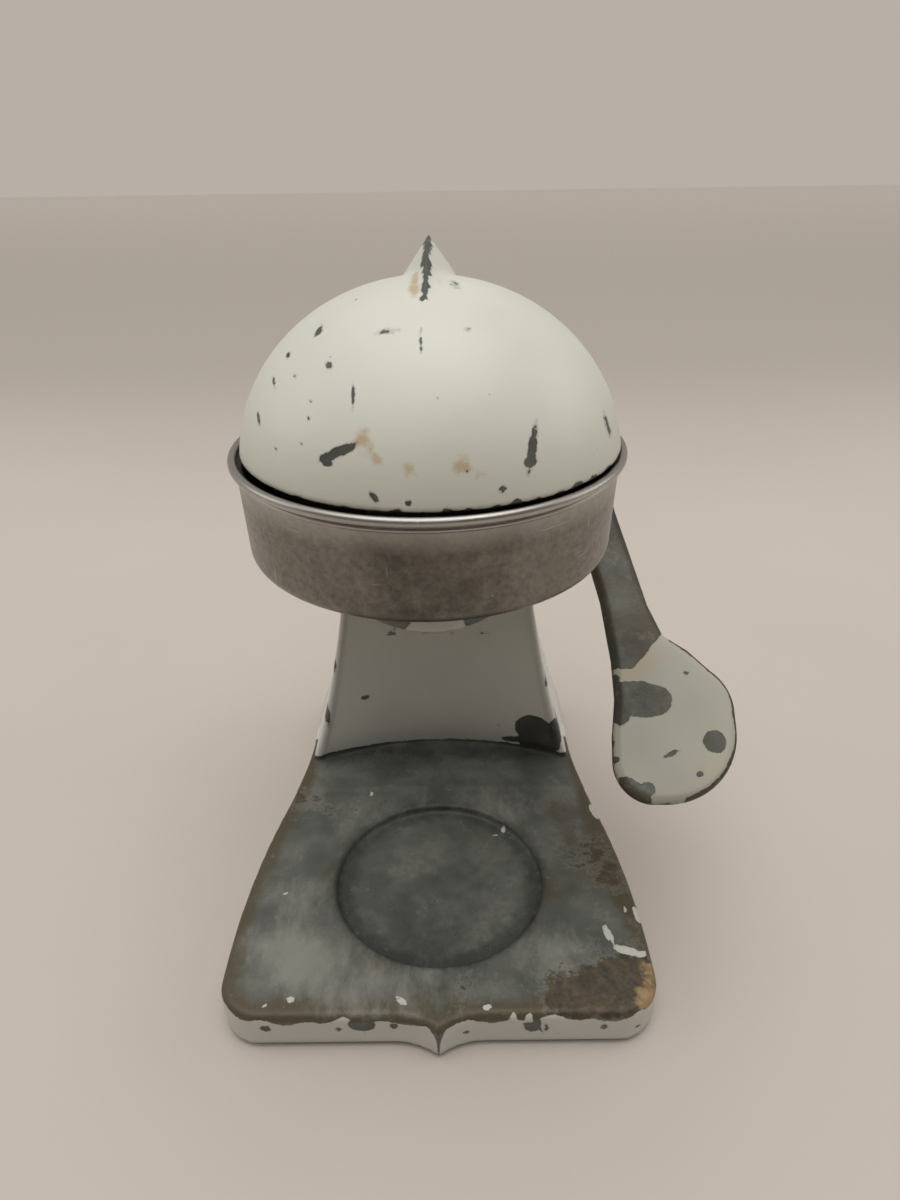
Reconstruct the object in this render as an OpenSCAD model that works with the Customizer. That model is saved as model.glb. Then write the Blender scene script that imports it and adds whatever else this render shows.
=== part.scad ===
// Counter-top citrus press. A side lever turns a pinion, and the pinion lifts a domed
// head on a toothed post, away from a juice bowl that stands over a glass seat.
// Inside on_axis(), X and Y are measured from the upright line through the bowl.

/* [Base] */
// Width of the base plate where it is widest
base_w = 130; // [124:1:136]
// Height of the base plate's casting
base_h = 12.5; // [11:0.5:15]
// Distance from the bowl's line to the straight front edge
base_front = 50.5; // [48:0.5:56]
// Distance from the bowl's line to the rear edge
base_rear = 118; // [116:1:124]
// How far the pointed prow stands out of the front edge
prow_out = 4.3; // [2:0.1:7]
// Radius of the round glass seat
seat_r = 35; // [30:0.5:37]
// Depth of the glass seat
seat_deep = 2.6; // [1.5:0.1:3.5]
// How far the rubber feet lift the base
foot_gap = 1.5; // [1:0.1:3]

/* [Column] */
// Height of the column's top above the table
column_top = 178; // [177:0.5:178]
// Half width that the column narrows towards
column_half = 20; // [19:0.5:23]
// Wall of the casting
wall = 4; // [3:0.5:4.5]
// Distance from the bowl's line to the column's front
column_front = 60; // [59.5:0.1:60.5]
// Distance from the bowl's line to the column's open back
column_back = 112; // [111:0.5:114]

/* [Bowl] */
// Height of the bowl's underside above the table
bowl_z = 140.3; // [139.5:0.1:140.5]
// Outer radius of the bowl's wall near the rim
bowl_r = 47; // [46.8:0.1:47.1]
// Radius of the rolled rim's own section
bead_r = 1.1; // [0.8:0.1:1.3]
// Wall of the bowl
bowl_wall = 1.4; // [1:0.1:2]

/* [Head] */
// Radius of the dome at its lower edge
dome_r = 46.64; // [44:0.1:46.7]
// Height of the dome from its widest circle to its crown
dome_h = 42.37; // [40:0.1:43]
// Height of the dome's widest circle above the table
dome_z = 163.05; // [163:0.05:164]
// Height of the dome's lower edge above the table
dome_edge_z = 167.45; // [167.4:0.05:168]
// How far the dome is set to the right of the bowl's line
dome_x = 0.7; // [0:0.1:1]

/* [Drive] */
// Gear module
gear_m = 1.5; // [1.5:0.5:1.5]
// Number of teeth on the pinion
pinion_teeth = 20; // [20:1:20]
// Height of the pinion's line above the table
pinion_z = 155.3; // [155:0.1:155.5]
// Turn of the lever from closed to open, in degrees
lever_turn = 165; // [150:1:165]
// Slope of the lever below the level when closed, in degrees
lever_slope = 40; // [38:1:42]

/* [Hidden] */
$fn = 96;

// Place of the bowl's line in the object's own frame, whose origin is the middle of the
// whole object's outline on the table
axis_x = -12;
axis_y = -32;

base_z0 = foot_gap;
base_top = foot_gap + base_h;
side_arc_r = 296;
side_widest_y = -32;
base_corner_r = 12;
base_side_end = 54;
prow_half = 14;
base_skin = 3.5;
base_edge_steps = [[0, 2.2], [0.35, 1.1], [1.1, 0.35], [2.2, 0]];

column_flare = 31.3;
column_flare_h = 93;
column_corner_r = 8;
front_panel_deep = 0.8;
front_panel_inset = 4;
foot_hollow_r = 125;
foot_hollow_y = 67.5;
foot_hollow_tilt = 4.4;
lip_h = 3;
cove_y = 46;

ring_r = 22;
ring_foot_r = 20.3;
ring_z0 = 123;
arm_half = 13;
arm_foot_z = 105;
spout_r = 12;

cover_t = 1.6;
cover_z = [16, 175];
cover_screws = [[38.5, 32], [19, 167]];
cover_boss_r = 4;
screw_r = 1.5;
screw_hole_r = 1.6;
screw_head_r = 3;
screw_head_h = 1.7;

foot_r = 8;
foot_h = 4;
foot_places = [[-50, -37], [50, -37], [-40, 104], [40, 104]];

post_half = 8;
post_front = 64.3;
post_back = 78;
post_z = [72, 188];
rack_z = [100, 168];
post_gap = 0.3;
keeper_z = [121, 133];
keeper_y = [70, 84];
keeper_half = 20;
keeper_screw_x = 14.5;
neck_z = 178.6;
head_pin_y = [67.5, 74.5];
head_pin_z = 183.5;

pitch_r = gear_m * pinion_teeth / 2;
pinion_y = post_back - gear_m + pitch_r;
lift = pitch_r * lever_turn * PI / 180;
gear_half = 9;
gear_hub = 18.5;
pressure_angle = 20;
backlash = 0.14;
shaft_r = 5;
bush_r = 7;
bush_x = [19.6, 34];
boss_r = 11;
hub_x = [36.5, 50];
hub_r = 11;
tang = 7;
washer_r = 6.5;

// The stop pin meets the keeper just after the lever reaches the end of its turn
stop_pin_y = 74;
stop_pin_z = keeper_z[0] - lift - 2.1;

// Points of an arc about (cx, cy)
function arc(cx, cy, r, a0, a1, n) =
    [for (i = [0:n]) let (a = a0 + (a1 - a0) * i / n) [cx + r * cos(a), cy + r * sin(a)]];

// A half outline, whose first point is on the middle line, closed by its mirror image
function both_sides(p) = concat(p, [for (i = [len(p) - 1:-1:1]) [-p[i][0], p[i][1]]]);

// Half width of the base plate at a distance y behind the bowl's line
function base_half(y) =
    base_w / 2 - side_arc_r + sqrt(pow(side_arc_r, 2) - pow(y - side_widest_y, 2));

// Base outline drawn in by t
function base_outline(t) =
    let (r = base_corner_r, fy = r - base_front, rear_x = base_half(base_side_end))
    both_sides(concat(
        [for (i = [0:8]) [prow_half * i / 8, t - base_front - prow_out * pow(1 - i / 8, 2.2)]],
        arc(base_half(fy) - r, fy, r - t, -90, 0, 8),
        [for (y = [fy + 7:8:base_side_end]) [base_half(y) - t, y]],
        arc(rear_x - r, base_rear - r, r - t, 0, 90, 8),
        [[0, base_rear - t]]));

// Half width of the column at a height z
function column_w(z) = column_half + column_flare * exp((base_top - z) / column_flare_h);

// Column outline, seen from the front, drawn in by t, from z0 up to z1
function column_outline(t, z0, z1) =
    let (r = column_corner_r, zc = z1 - r)
    both_sides(concat([[0, z0]],
        [for (i = [0:12]) let (z = z0 + (zc - z0) * i / 12) [column_w(z) - t, z]],
        arc(column_w(zc) - t - r, zc, r, 15, 90, 6),
        [[0, z1]]));

module on_axis() {
    translate([axis_x, axis_y, 0]) children();
}

// The outline (x, z) made solid between y0 and y1
module front_slab(points, y0, y1) {
    translate([0, y1, 0]) rotate([90, 0, 0]) linear_extrude(y1 - y0) polygon(points);
}

// The outline (y, z) made solid between x0 and x1
module side_slab(points, x0, x1) {
    translate([x0, 0, 0]) rotate([90, 0, 90]) linear_extrude(x1 - x0) polygon(points);
}

// A rod along X from x0 to x1 at (y, z)
module rod_x(x0, x1, y, z, r) {
    translate([x0, y, z]) rotate([0, 90, 0]) cylinder(h = x1 - x0, r = r);
}

// A rod along Y from y0 to y1 at (x, z)
module rod_y(y0, y1, x, z, r) {
    translate([x, y1, z]) rotate([90, 0, 0]) cylinder(h = y1 - y0, r = r);
}

// A block given by its lowest and highest corners
module block(a, b) {
    translate(a) cube(b - a);
}

module at_feet() {
    for (p = foot_places) translate([p[0], p[1], 0]) children();
}

module base_body() {
    for (s = base_edge_steps)
        translate([0, 0, base_z0]) linear_extrude(base_h - s[1]) polygon(base_outline(s[0]));
}

module column_body() {
    front_slab(column_outline(0, base_top - 1, column_top), column_front, column_back);
}

// Hollow of the column: narrow behind the foot, and open to the back above the rear sill
module column_hollow() {
    sill_z = 22;
    top_z = column_top - wall;
    intersection() {
        front_slab(column_outline(wall, base_z0 - 5, top_z), 0, column_back + 20);
        side_slab([[column_front + 12, base_z0 - 1], [column_front + 12, 60],
            [column_front + wall, 72], [column_front + wall, top_z + 1],
            [column_back + 1, top_z + 1], [column_back + 1, sill_z],
            [column_back - 2, sill_z], [column_back - 2, base_z0 - 1]], -80, 80);
    }
}

// Arm that carries the bowl's ring, deep at the column and shallow at the ring
module bowl_arm() {
    side_slab([[0, ring_z0 + 1], [24, ring_z0 + 1], [44, 118], [column_front + 2, arm_foot_z],
        [column_front + 2, bowl_z - 1], [0, bowl_z - 1]], -arm_half, arm_half);
    translate([0, 0, ring_z0]) cylinder(h = bowl_z - ring_z0, r1 = ring_foot_r, r2 = ring_r);
}

// Curved hollow in the column's foot and the shallow panel above it, both below the arm
module front_hollow() {
    intersection() {
        translate([0, foot_hollow_y - foot_hollow_r, base_top + lip_h])
            rotate([foot_hollow_tilt, 0, 0]) cylinder(h = 130, r = foot_hollow_r, $fn = 240);
        block([-60, column_front - 5, base_top], [60, 90, arm_foot_z - 1]);
    }
    front_slab(column_outline(front_panel_inset, base_top + lip_h, arm_foot_z - 1),
        column_front - 5, column_front + front_panel_deep);
    side_slab([[cove_y, base_top], [foot_hollow_y, base_top + lip_h],
        [foot_hollow_y, base_top + lip_h + 1], [cove_y, base_top + lip_h + 1]], -60, 60);
}

// Ramp from the base up to the lip at the column's foot
module cove() {
    intersection() {
        side_slab([[cove_y, base_top - 1], [cove_y, base_top],
            [column_front + 3, base_top + lip_h * (column_front + 3 - cove_y)
                / (foot_hollow_y - cove_y)], [column_front + 3, base_top - 1]], -60, 60);
        linear_extrude(40) polygon(base_outline(2.2));
    }
}

module inner_bosses() {
    intersection() {
        union() {
            translate([0, 0, base_top - seat_deep - 3]) cylinder(h = seat_deep + 1, r = seat_r + 4);
            at_feet() translate([0, 0, foot_h]) cylinder(h = base_h - foot_h, r = foot_r + 1);
        }
        translate([0, 0, base_z0]) linear_extrude(base_h - 1) polygon(base_outline(1));
    }
    for (s = [-1, 1]) {
        for (p = cover_screws) rod_y(column_back - 12, column_back, s * p[0], p[1], cover_boss_r);
        rod_x(s > 0 ? bush_x[0] : -bush_x[1], s > 0 ? bush_x[1] : -bush_x[0],
            pinion_y, pinion_z, boss_r);
        block([s * 15.5 - 5, column_front + wall - 1, keeper_z[0]],
            [s * 15.5 + 5, keeper_y[0], keeper_z[1]]);
    }
    block([-15, column_front + wall - 1, 169], [15, post_back + 3, column_top - 1]);
}

module frame_casting() {
    color("gainsboro") on_axis() difference() {
        union() {
            difference() {
                union() {
                    base_body();
                    cove();
                    column_body();
                    bowl_arm();
                }
                translate([0, 0, base_z0 - 1]) linear_extrude(base_h - base_skin + 1)
                    polygon(base_outline(base_skin));
                column_hollow();
            }
            inner_bosses();
        }
        front_hollow();
        translate([0, 0, base_top - seat_deep]) cylinder(h = 20, r = seat_r);
        translate([0, 0, ring_z0 - 1]) cylinder(h = 40, r = spout_r + 0.3);
        block([-post_half - post_gap, column_front + wall, 160],
            [post_half + post_gap, post_back + post_gap, column_top + 1]);
        rod_x(-60, 60, pinion_y, pinion_z, bush_r);
        for (s = [-1, 1]) {
            for (p = cover_screws)
                rod_y(column_back - 10, column_back + 1, s * p[0], p[1], screw_hole_r);
            rod_y(column_front + 1.5, keeper_y[0] + 1, s * keeper_screw_x,
                (keeper_z[0] + keeper_z[1]) / 2, screw_hole_r);
        }
        at_feet() cylinder(h = base_h - 2, r = screw_hole_r);
    }
}

module rear_cover() {
    color("gainsboro") on_axis() difference() {
        front_slab(column_outline(0.8, cover_z[0], cover_z[1]), column_back, column_back + cover_t);
        for (s = [-1, 1], p = cover_screws)
            rod_y(column_back - 1, column_back + cover_t + 1, s * p[0], p[1], screw_hole_r);
    }
}

// Screw along Y with its head at the back
module screw_y(x, z, y0, y1) {
    rod_y(y0, y1, x, z, screw_r);
    difference() {
        rod_y(y1, y1 + screw_head_h, x, z, screw_head_r);
        block([x - screw_head_r, y1 + screw_head_h - 0.7, z - 0.4],
            [x + screw_head_r, y1 + screw_head_h + 1, z + 0.4]);
    }
}

module rear_cover_screws() {
    color("silver") on_axis() for (s = [-1, 1], p = cover_screws)
        screw_y(s * p[0], p[1], column_back - 9, column_back + cover_t);
}

module foot(i) {
    color("dimgray") on_axis() translate([foot_places[i][0], foot_places[i][1], 0]) difference() {
        cylinder(h = foot_h, r1 = foot_r - 1, r2 = foot_r);
        translate([0, 0, -1]) cylinder(h = foot_h + 2, r = 1.9);
        translate([0, 0, -1]) cylinder(h = 3, r = 3.6);
    }
}

module foot_front_left() { foot(0); }

module foot_front_right() { foot(1); }

module foot_rear_left() { foot(2); }

module foot_rear_right() { foot(3); }

module foot_screws() {
    color("silver") on_axis() at_feet() {
        translate([0, 0, 0.6]) cylinder(h = 1.4, r = screw_head_r);
        translate([0, 0, 2]) cylinder(h = base_h - 5, r = screw_r);
    }
}

module juice_bowl() {
    floor_z = bowl_z + bowl_wall;
    corner = 4;
    low_r = bowl_r - 0.9;
    bead_z = dome_edge_z - 0.35 - bead_r;
    color("silver") on_axis() rotate_extrude() {
        polygon(concat([[spout_r, ring_z0 - 2], [spout_r, bowl_z]],
            arc(low_r - corner, bowl_z + corner, corner, -90, 0, 6),
            [[bowl_r, bead_z - 0.3], [bowl_r - bowl_wall, bead_z - 0.3]],
            arc(low_r - corner, bowl_z + corner, corner - bowl_wall, 0, -90, 6),
            [[spout_r - bowl_wall, floor_z], [spout_r - bowl_wall, ring_z0 - 2]]));
        translate([bowl_r + 0.65, bead_z]) circle(r = bead_r, $fn = 32);
    }
}

// Reamer with a ring of slots around it, lifted out of the bowl for washing
module strainer_cone() {
    plate_z = bowl_z + 7;
    tip_z = 188;
    cone_r = 27;
    slots = 24;
    ribs = 12;
    color("silver") on_axis() difference() {
        union() {
            rotate_extrude() polygon([[40, bowl_z + bowl_wall], [41.5, bowl_z + bowl_wall],
                [41.5, plate_z + 1.5], [cone_r, plate_z + 1.5], [cone_r - 6, plate_z + 12],
                [3.5, tip_z - 3], [0, tip_z], [0, tip_z - 4], [2.5, tip_z - 5],
                [cone_r - 8, plate_z + 11], [cone_r - 1.8, plate_z], [40, plate_z]]);
            for (i = [0:ribs - 1]) rotate([0, 0, i * 360 / ribs])
                translate([0, 0.7, 0]) rotate([90, 0, 0]) linear_extrude(1.4)
                    polygon([[cone_r - 1.5, plate_z + 1], [cone_r, plate_z + 1],
                        [cone_r - 3.6, plate_z + 12], [6.4, tip_z - 6], [0, tip_z],
                        [0, tip_z - 2], [cone_r - 7, plate_z + 11.4]]);
        }
        for (i = [0:slots - 1]) rotate([0, 0, (i + 0.5) * 360 / slots])
            block([cone_r + 3, -1, plate_z - 1], [37.5, 1, plate_z + 3]);
    }
}

module shaft_bush(s) {
    x0 = s > 0 ? bush_x[0] : -bush_x[1];
    color("goldenrod") on_axis() difference() {
        rod_x(x0, x0 + bush_x[1] - bush_x[0], pinion_y, pinion_z, bush_r);
        rod_x(-60, 60, pinion_y, pinion_z, shaft_r + 0.05);
    }
}

module shaft_bush_left() { shaft_bush(-1); }

module shaft_bush_right() { shaft_bush(1); }

// Block that holds the post against the column's front wall
module post_keeper() {
    color("silver") on_axis() difference() {
        block([-keeper_half, keeper_y[0], keeper_z[0]], [keeper_half, keeper_y[1], keeper_z[1]]);
        block([-post_half - post_gap, 0, 0], [post_half + post_gap, post_back + post_gap, 300]);
        for (s = [-1, 1]) rod_y(0, 200, s * keeper_screw_x, (keeper_z[0] + keeper_z[1]) / 2,
            screw_hole_r);
    }
}

module post_keeper_screws() {
    color("silver") on_axis() for (s = [-1, 1])
        screw_y(s * keeper_screw_x, (keeper_z[0] + keeper_z[1]) / 2, column_front + 3, keeper_y[1]);
}

// Half ellipse of the dome drawn in by t, from its edge to its crown
function dome_curve(t, z0) =
    let (a = dome_r - t, b = dome_h - t, a0 = asin((z0 - dome_z) / b))
    [for (i = [0:18]) let (q = a0 + (90 - a0) * i / 18) [a * cos(q), dome_z + b * sin(q)]];

// Stations of the spine that runs from the dome's front, over its crown and down to the post:
// distance behind the bowl's line, ridge height, shoulder half width and drop, underside half
// width and height
spine = [[-17, 202.2, 3, 4, 3, 190], [-6, 207.4, 7, 10.6, 7, 188], [4, 210, 8.8, 13.4, 8.8, 186],
    [16, 211.6, 8.8, 13.4, 8.8, 184], [30, 211, 8.8, 13.4, 8.8, 176], [45, 209, 9.5, 14, 9.5, 175],
    [58, 206.6, 11, 14.5, 11.5, neck_z], [70, 203.6, 12, 14, 12.5, neck_z],
    [80, 199, 12, 12, 12.5, neck_z], [88, 189, 10, 6, 11, neck_z]];

module spine_body() {
    last = len(spine) - 1;
    points = [for (s = spine) each [[0, s[0], s[1]], [s[2], s[0], s[1] - s[3]], [s[4], s[0], s[5]],
        [-s[4], s[0], s[5]], [-s[2], s[0], s[1] - s[3]]]];
    sides = [for (i = [0:last - 1], j = [0:4]) let (k = (j + 1) % 5)
        each [[5 * i + j, 5 * i + 5 + j, 5 * i + k], [5 * i + k, 5 * i + 5 + j, 5 * i + 5 + k]]];
    polyhedron(points, concat(sides, [[0, 1, 2, 3, 4]],
        [[for (j = [4:-1:0]) 5 * last + j]]));
}

module press_head() {
    dome_wall = 3;
    color("honeydew") on_axis() difference() {
        union() {
            translate([dome_x, 0, 0]) rotate_extrude()
                polygon(concat([[0, dome_edge_z]], dome_curve(0, dome_edge_z)));
            translate([dome_x, 0, 0]) spine_body();
        }
        difference() {
            translate([dome_x, 0, 0]) rotate_extrude() polygon(concat([[0, dome_edge_z - 20],
                [dome_r - dome_wall, dome_edge_z - 20]], dome_curve(dome_wall, dome_edge_z - 1)));
            translate([0, 0, 198]) cylinder(h = 20, r = 7);
        }
        block([-post_half - 0.05, post_front - 0.05, neck_z - 1],
            [post_half + 0.05, post_back + 0.05, post_z[1] + 0.2]);
        for (y = head_pin_y) rod_x(-30, 30, y, head_pin_z, 2);
        translate([0, 0, 190]) cylinder(h = 14, r = screw_hole_r);
    }
}

module head_pins() {
    color("silver") on_axis() for (y = head_pin_y) rod_x(-11.5, 11.5, y, head_pin_z, 1.95);
}

// Inner cup that presses the fruit over the cone
module press_cup() {
    cup_a = 39;
    cup_b = 34.8;
    cup_wall = 1.5;
    skirt_z = 159;
    color("silver") on_axis() difference() {
        rotate_extrude() polygon(concat(
            [[cup_a - cup_wall, skirt_z], [cup_a, skirt_z]],
            [for (i = [0:16]) let (q = 90 * i / 16) [cup_a * cos(q), dome_z + cup_b * sin(q)]],
            [for (i = [16:-1:0]) let (q = 90 * i / 16)
                [(cup_a - cup_wall) * cos(q), dome_z + (cup_b - cup_wall) * sin(q)]]));
        translate([0, 0, 190]) cylinder(h = 14, r = screw_hole_r);
    }
}

module press_cup_screw() {
    top = dome_z + 33.3;
    color("silver") on_axis() {
        translate([0, 0, top - 2.2]) cylinder(h = 2, r1 = 3.2, r2 = 4);
        translate([0, 0, top - 0.3]) cylinder(h = 7, r = screw_r);
    }
}

// Half gap between rack teeth, at a height h above the pitch line
function rack_gap(h) = PI * gear_m / 4 + backlash / 2 + h * tan(pressure_angle);

module rack_post() {
    pitch = PI * gear_m;
    root = 1.25 * gear_m;
    first = ceil((rack_z[0] - pinion_z) / pitch);
    last = floor((rack_z[1] - pinion_z) / pitch);
    pitch_y = post_back - gear_m;
    color("silver") on_axis() difference() {
        block([-post_half, post_front, post_z[0]], [post_half, post_back, post_z[1]]);
        for (i = [first:last]) translate([0, 0, pinion_z + i * pitch])
            side_slab([[pitch_y - root, -rack_gap(-root)], [post_back + 1, -rack_gap(gear_m + 1)],
                [post_back + 1, rack_gap(gear_m + 1)], [pitch_y - root, rack_gap(-root)]], -20, 20);
        for (y = head_pin_y) rod_x(-30, 30, y, head_pin_z, 2);
        rod_x(-30, 30, stop_pin_y, stop_pin_z, 1.5);
    }
}

module post_stop_pin() {
    color("silver") on_axis() rod_x(-12.5, 12.5, stop_pin_y, stop_pin_z, 1.48);
}

// Tooth flank of the pinion: the angle, off the tooth's middle, at a radius r
function involute(a) = tan(a) - a * PI / 180;
function flank_angle(r) =
    let (base_r = pitch_r * cos(pressure_angle))
    90 / pinion_teeth - backlash * 90 / (PI * pitch_r)
        + (involute(pressure_angle) - involute(acos(min(1, base_r / r)))) * 180 / PI;

function pinion_outline() =
    let (root_r = pitch_r - 1.25 * gear_m, tip_r = pitch_r + gear_m,
        flank = [for (i = [0:5]) let (r = pitch_r * cos(pressure_angle) + 0.01
            + (tip_r - pitch_r * cos(pressure_angle) - 0.01) * i / 5) [r, flank_angle(r)]],
        wide = flank[0][1])
    [for (k = [0:pinion_teeth - 1]) let (c = 180 + k * 360 / pinion_teeth)
        each concat([[root_r * cos(c - wide), root_r * sin(c - wide)]],
            [for (p = flank) [p[0] * cos(c - p[1]), p[0] * sin(c - p[1])]],
            [for (i = [5:-1:0]) let (p = flank[i]) [p[0] * cos(c + p[1]), p[0] * sin(c + p[1])]],
            [[root_r * cos(c + wide), root_r * sin(c + wide)]])];

module pinion_gear() {
    color("dimgray") on_axis() difference() {
        union() {
            translate([0, pinion_y, pinion_z]) side_slab(pinion_outline(), -gear_half, gear_half);
            rod_x(-gear_hub, gear_hub, pinion_y, pinion_z, 8.5);
        }
        rod_x(-30, 30, pinion_y, pinion_z, shaft_r);
        pinion_pin_rod(2, 30);
    }
}

// The pinion's pin lies across the shaft, in the plane of the lever
module pinion_pin_rod(r, half) {
    translate([14, pinion_y, pinion_z]) rotate([lever_slope, 0, 0]) cylinder(h = 2 * half, r = r,
        center = true);
}

module pinion_pin() {
    color("silver") on_axis() pinion_pin_rod(1.95, 8.2);
}

module pinion_shaft() {
    color("silver") on_axis() difference() {
        union() {
            rod_x(-37, hub_x[0], pinion_y, pinion_z, shaft_r - 0.02);
            lever_plane() block([hub_x[0] - 0.5, -tang / 2, -tang / 2],
                [hub_x[1] - 0.3, tang / 2, tang / 2]);
        }
        pinion_pin_rod(2, 30);
        rod_x(hub_x[1] - 10, hub_x[1] + 5, pinion_y, pinion_z, 1.9);
    }
}

// X stays along the shaft and Y runs out along the lever from the pinion's line
module lever_plane() {
    translate([0, pinion_y, pinion_z]) rotate([180 + lever_slope, 0, 0]) children();
}

// Lever outline: an arm that leans away from the bowl, and a broad spoon
function lever_outline() = concat(
    [[hub_x[0] + 0.3, 0], [hub_x[1] - 0.3, 0], [59.5, 50.6], [66.8, 82.6], [70.6, 92.6],
        [77.5, 97.4]],
    arc(74.5, 116, 15.2, -52, 0, 6),
    arc(67.5, 121.5, 22.1, 0, 90, 10),
    arc(64.2, 131.7, 12, 100, 180, 7),
    [[52.6, 124], [54.3, 112], [54.2, 100], [52.3, 80.6], [46.5, 52]]);

module lever_handle() {
    lever_t = 6.5;
    color("whitesmoke") on_axis() difference() {
        union() {
            rod_x(hub_x[0], hub_x[1], pinion_y, pinion_z, hub_r);
            lever_plane() translate([0, 0, -lever_t / 2]) linear_extrude(lever_t)
                polygon(lever_outline());
        }
        lever_plane() block([hub_x[0] - 1, -tang / 2 - 0.05, -tang / 2 - 0.05],
            [hub_x[1] + 20, tang / 2 + 0.05, tang / 2 + 0.05]);
        rod_x(hub_x[1], hub_x[1] + 10, pinion_y, pinion_z, washer_r + 0.7);
    }
}

module handle_washer() {
    color("silver") on_axis() difference() {
        rod_x(hub_x[1], hub_x[1] + 1, pinion_y, pinion_z, washer_r);
        rod_x(0, 90, pinion_y, pinion_z, 2.1);
    }
}

module handle_screw() {
    color("silver") on_axis() difference() {
        union() {
            rod_x(hub_x[1] - 9, hub_x[1] + 1.5, pinion_y, pinion_z, 1.85);
            rod_x(hub_x[1] + 1, hub_x[1] + 3, pinion_y, pinion_z, 3.8);
        }
        lever_plane() block([hub_x[1] + 2.2, -5, -0.5], [hub_x[1] + 5, 5, 0.5]);
    }
}

module thrust_washer() {
    color("saddlebrown") on_axis() difference() {
        rod_x(hub_x[0] - 2, hub_x[0], pinion_y, pinion_z, 9.5);
        rod_x(0, 90, pinion_y, pinion_z, shaft_r + 0.1);
    }
}

module retaining_ring() {
    color("silver") on_axis() difference() {
        rod_x(-35.7, -34.5, pinion_y, pinion_z, 7.5);
        rod_x(-90, 0, pinion_y, pinion_z, shaft_r);
    }
}

frame_casting();
rear_cover();
rear_cover_screws();
foot_front_left();
foot_front_right();
foot_rear_left();
foot_rear_right();
foot_screws();
juice_bowl();
strainer_cone();
shaft_bush_left();
shaft_bush_right();
post_keeper();
post_keeper_screws();
press_head();
press_cup();
press_cup_screw();
rack_post();
head_pins();
post_stop_pin();
lever_handle();
pinion_shaft();
pinion_gear();
pinion_pin();
handle_washer();
handle_screw();
thrust_washer();
retaining_ring();
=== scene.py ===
import math
import bpy
import numpy as np
from mathutils import Matrix, Vector


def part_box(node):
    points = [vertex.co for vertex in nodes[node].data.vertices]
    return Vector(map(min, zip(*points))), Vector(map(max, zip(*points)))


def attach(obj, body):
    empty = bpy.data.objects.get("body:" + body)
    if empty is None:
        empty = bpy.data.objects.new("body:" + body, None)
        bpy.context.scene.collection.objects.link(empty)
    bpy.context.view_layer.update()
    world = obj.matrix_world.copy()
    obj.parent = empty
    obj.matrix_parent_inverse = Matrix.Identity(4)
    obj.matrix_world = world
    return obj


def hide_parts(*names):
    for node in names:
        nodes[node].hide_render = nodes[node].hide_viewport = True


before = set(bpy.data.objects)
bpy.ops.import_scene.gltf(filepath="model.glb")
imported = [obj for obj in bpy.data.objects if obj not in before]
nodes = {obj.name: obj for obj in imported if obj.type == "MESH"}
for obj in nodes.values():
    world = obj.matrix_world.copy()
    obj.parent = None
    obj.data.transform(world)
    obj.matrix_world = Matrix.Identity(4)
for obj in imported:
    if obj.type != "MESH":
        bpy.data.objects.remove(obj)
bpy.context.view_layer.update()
mm = 0.001
print("frame loaded,", len(nodes), "nodes")

bowlLow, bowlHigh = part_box("juice_bowl")
bowlLine = Vector(((bowlLow.x + bowlHigh.x) / 2, (bowlLow.y + bowlHigh.y) / 2, 0))


def cadBox(node):
    # corners in mm, X and Y from the upright line through the bowl
    low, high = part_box(node)
    return (low - bowlLine) / mm, (high - bowlLine) / mm


castLow, castHigh = cadBox("frame_casting")
headLow, headHigh = cadBox("press_head")
gearLow, gearHigh = cadBox("pinion_gear")
coverLow, coverHigh = cadBox("rear_cover")
pinionY = (gearLow.y + gearHigh.y) / 2
pinionZ = (gearLow.z + gearHigh.z) / 2


# place in mm, lens in mm, angles in degrees
cameraSet = {"place": (5.6, -199.6, 233.6), "lens": 24.985, "down": 29.31, "turn": 0.2, "roll": -0.84}


def makeCamera(s):
    data = bpy.data.cameras.new("camera")
    data.lens = s["lens"]
    data.sensor_width = 36
    data.clip_start = 0.01
    camera = bpy.data.objects.new("camera", data)
    bpy.context.scene.collection.objects.link(camera)
    turn = Matrix.Rotation(math.radians(s["turn"]), 4, "Z")
    tilt = Matrix.Rotation(math.radians(90 - s["down"]), 4, "X")
    roll = Matrix.Rotation(math.radians(s["roll"]), 4, "Z")
    place = Matrix.Translation(Vector(s["place"]) * mm + bowlLine)
    camera.matrix_world = place @ turn @ tilt @ roll
    bpy.context.scene.camera = camera


def srgb(r, g, b):
    # 0-255 screen values to a linear colour
    return tuple(((c / 255 + 0.055) / 1.055) ** 2.4 if c > 10 else c / 3295 for c in (r, g, b)) + (1,)


makeCamera(cameraSet)
bpy.context.scene.view_settings.view_transform = "Standard"


class Wire:
    # a node's output that takes part in Python sums
    def __init__(self, tree, socket):
        self.tree = tree
        self.socket = socket

    def maths(self, operation, a, b):
        return self.tree.node("ShaderNodeMath", {"operation": operation}, {0: a, 1: b})

    def __add__(self, other):
        return self.maths("ADD", self, other)

    def __radd__(self, other):
        return self.maths("ADD", other, self)

    def __sub__(self, other):
        return self.maths("SUBTRACT", self, other)

    def __rsub__(self, other):
        return self.maths("SUBTRACT", other, self)

    def __mul__(self, other):
        return self.maths("MULTIPLY", self, other)

    def __rmul__(self, other):
        return self.maths("MULTIPLY", other, self)


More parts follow.
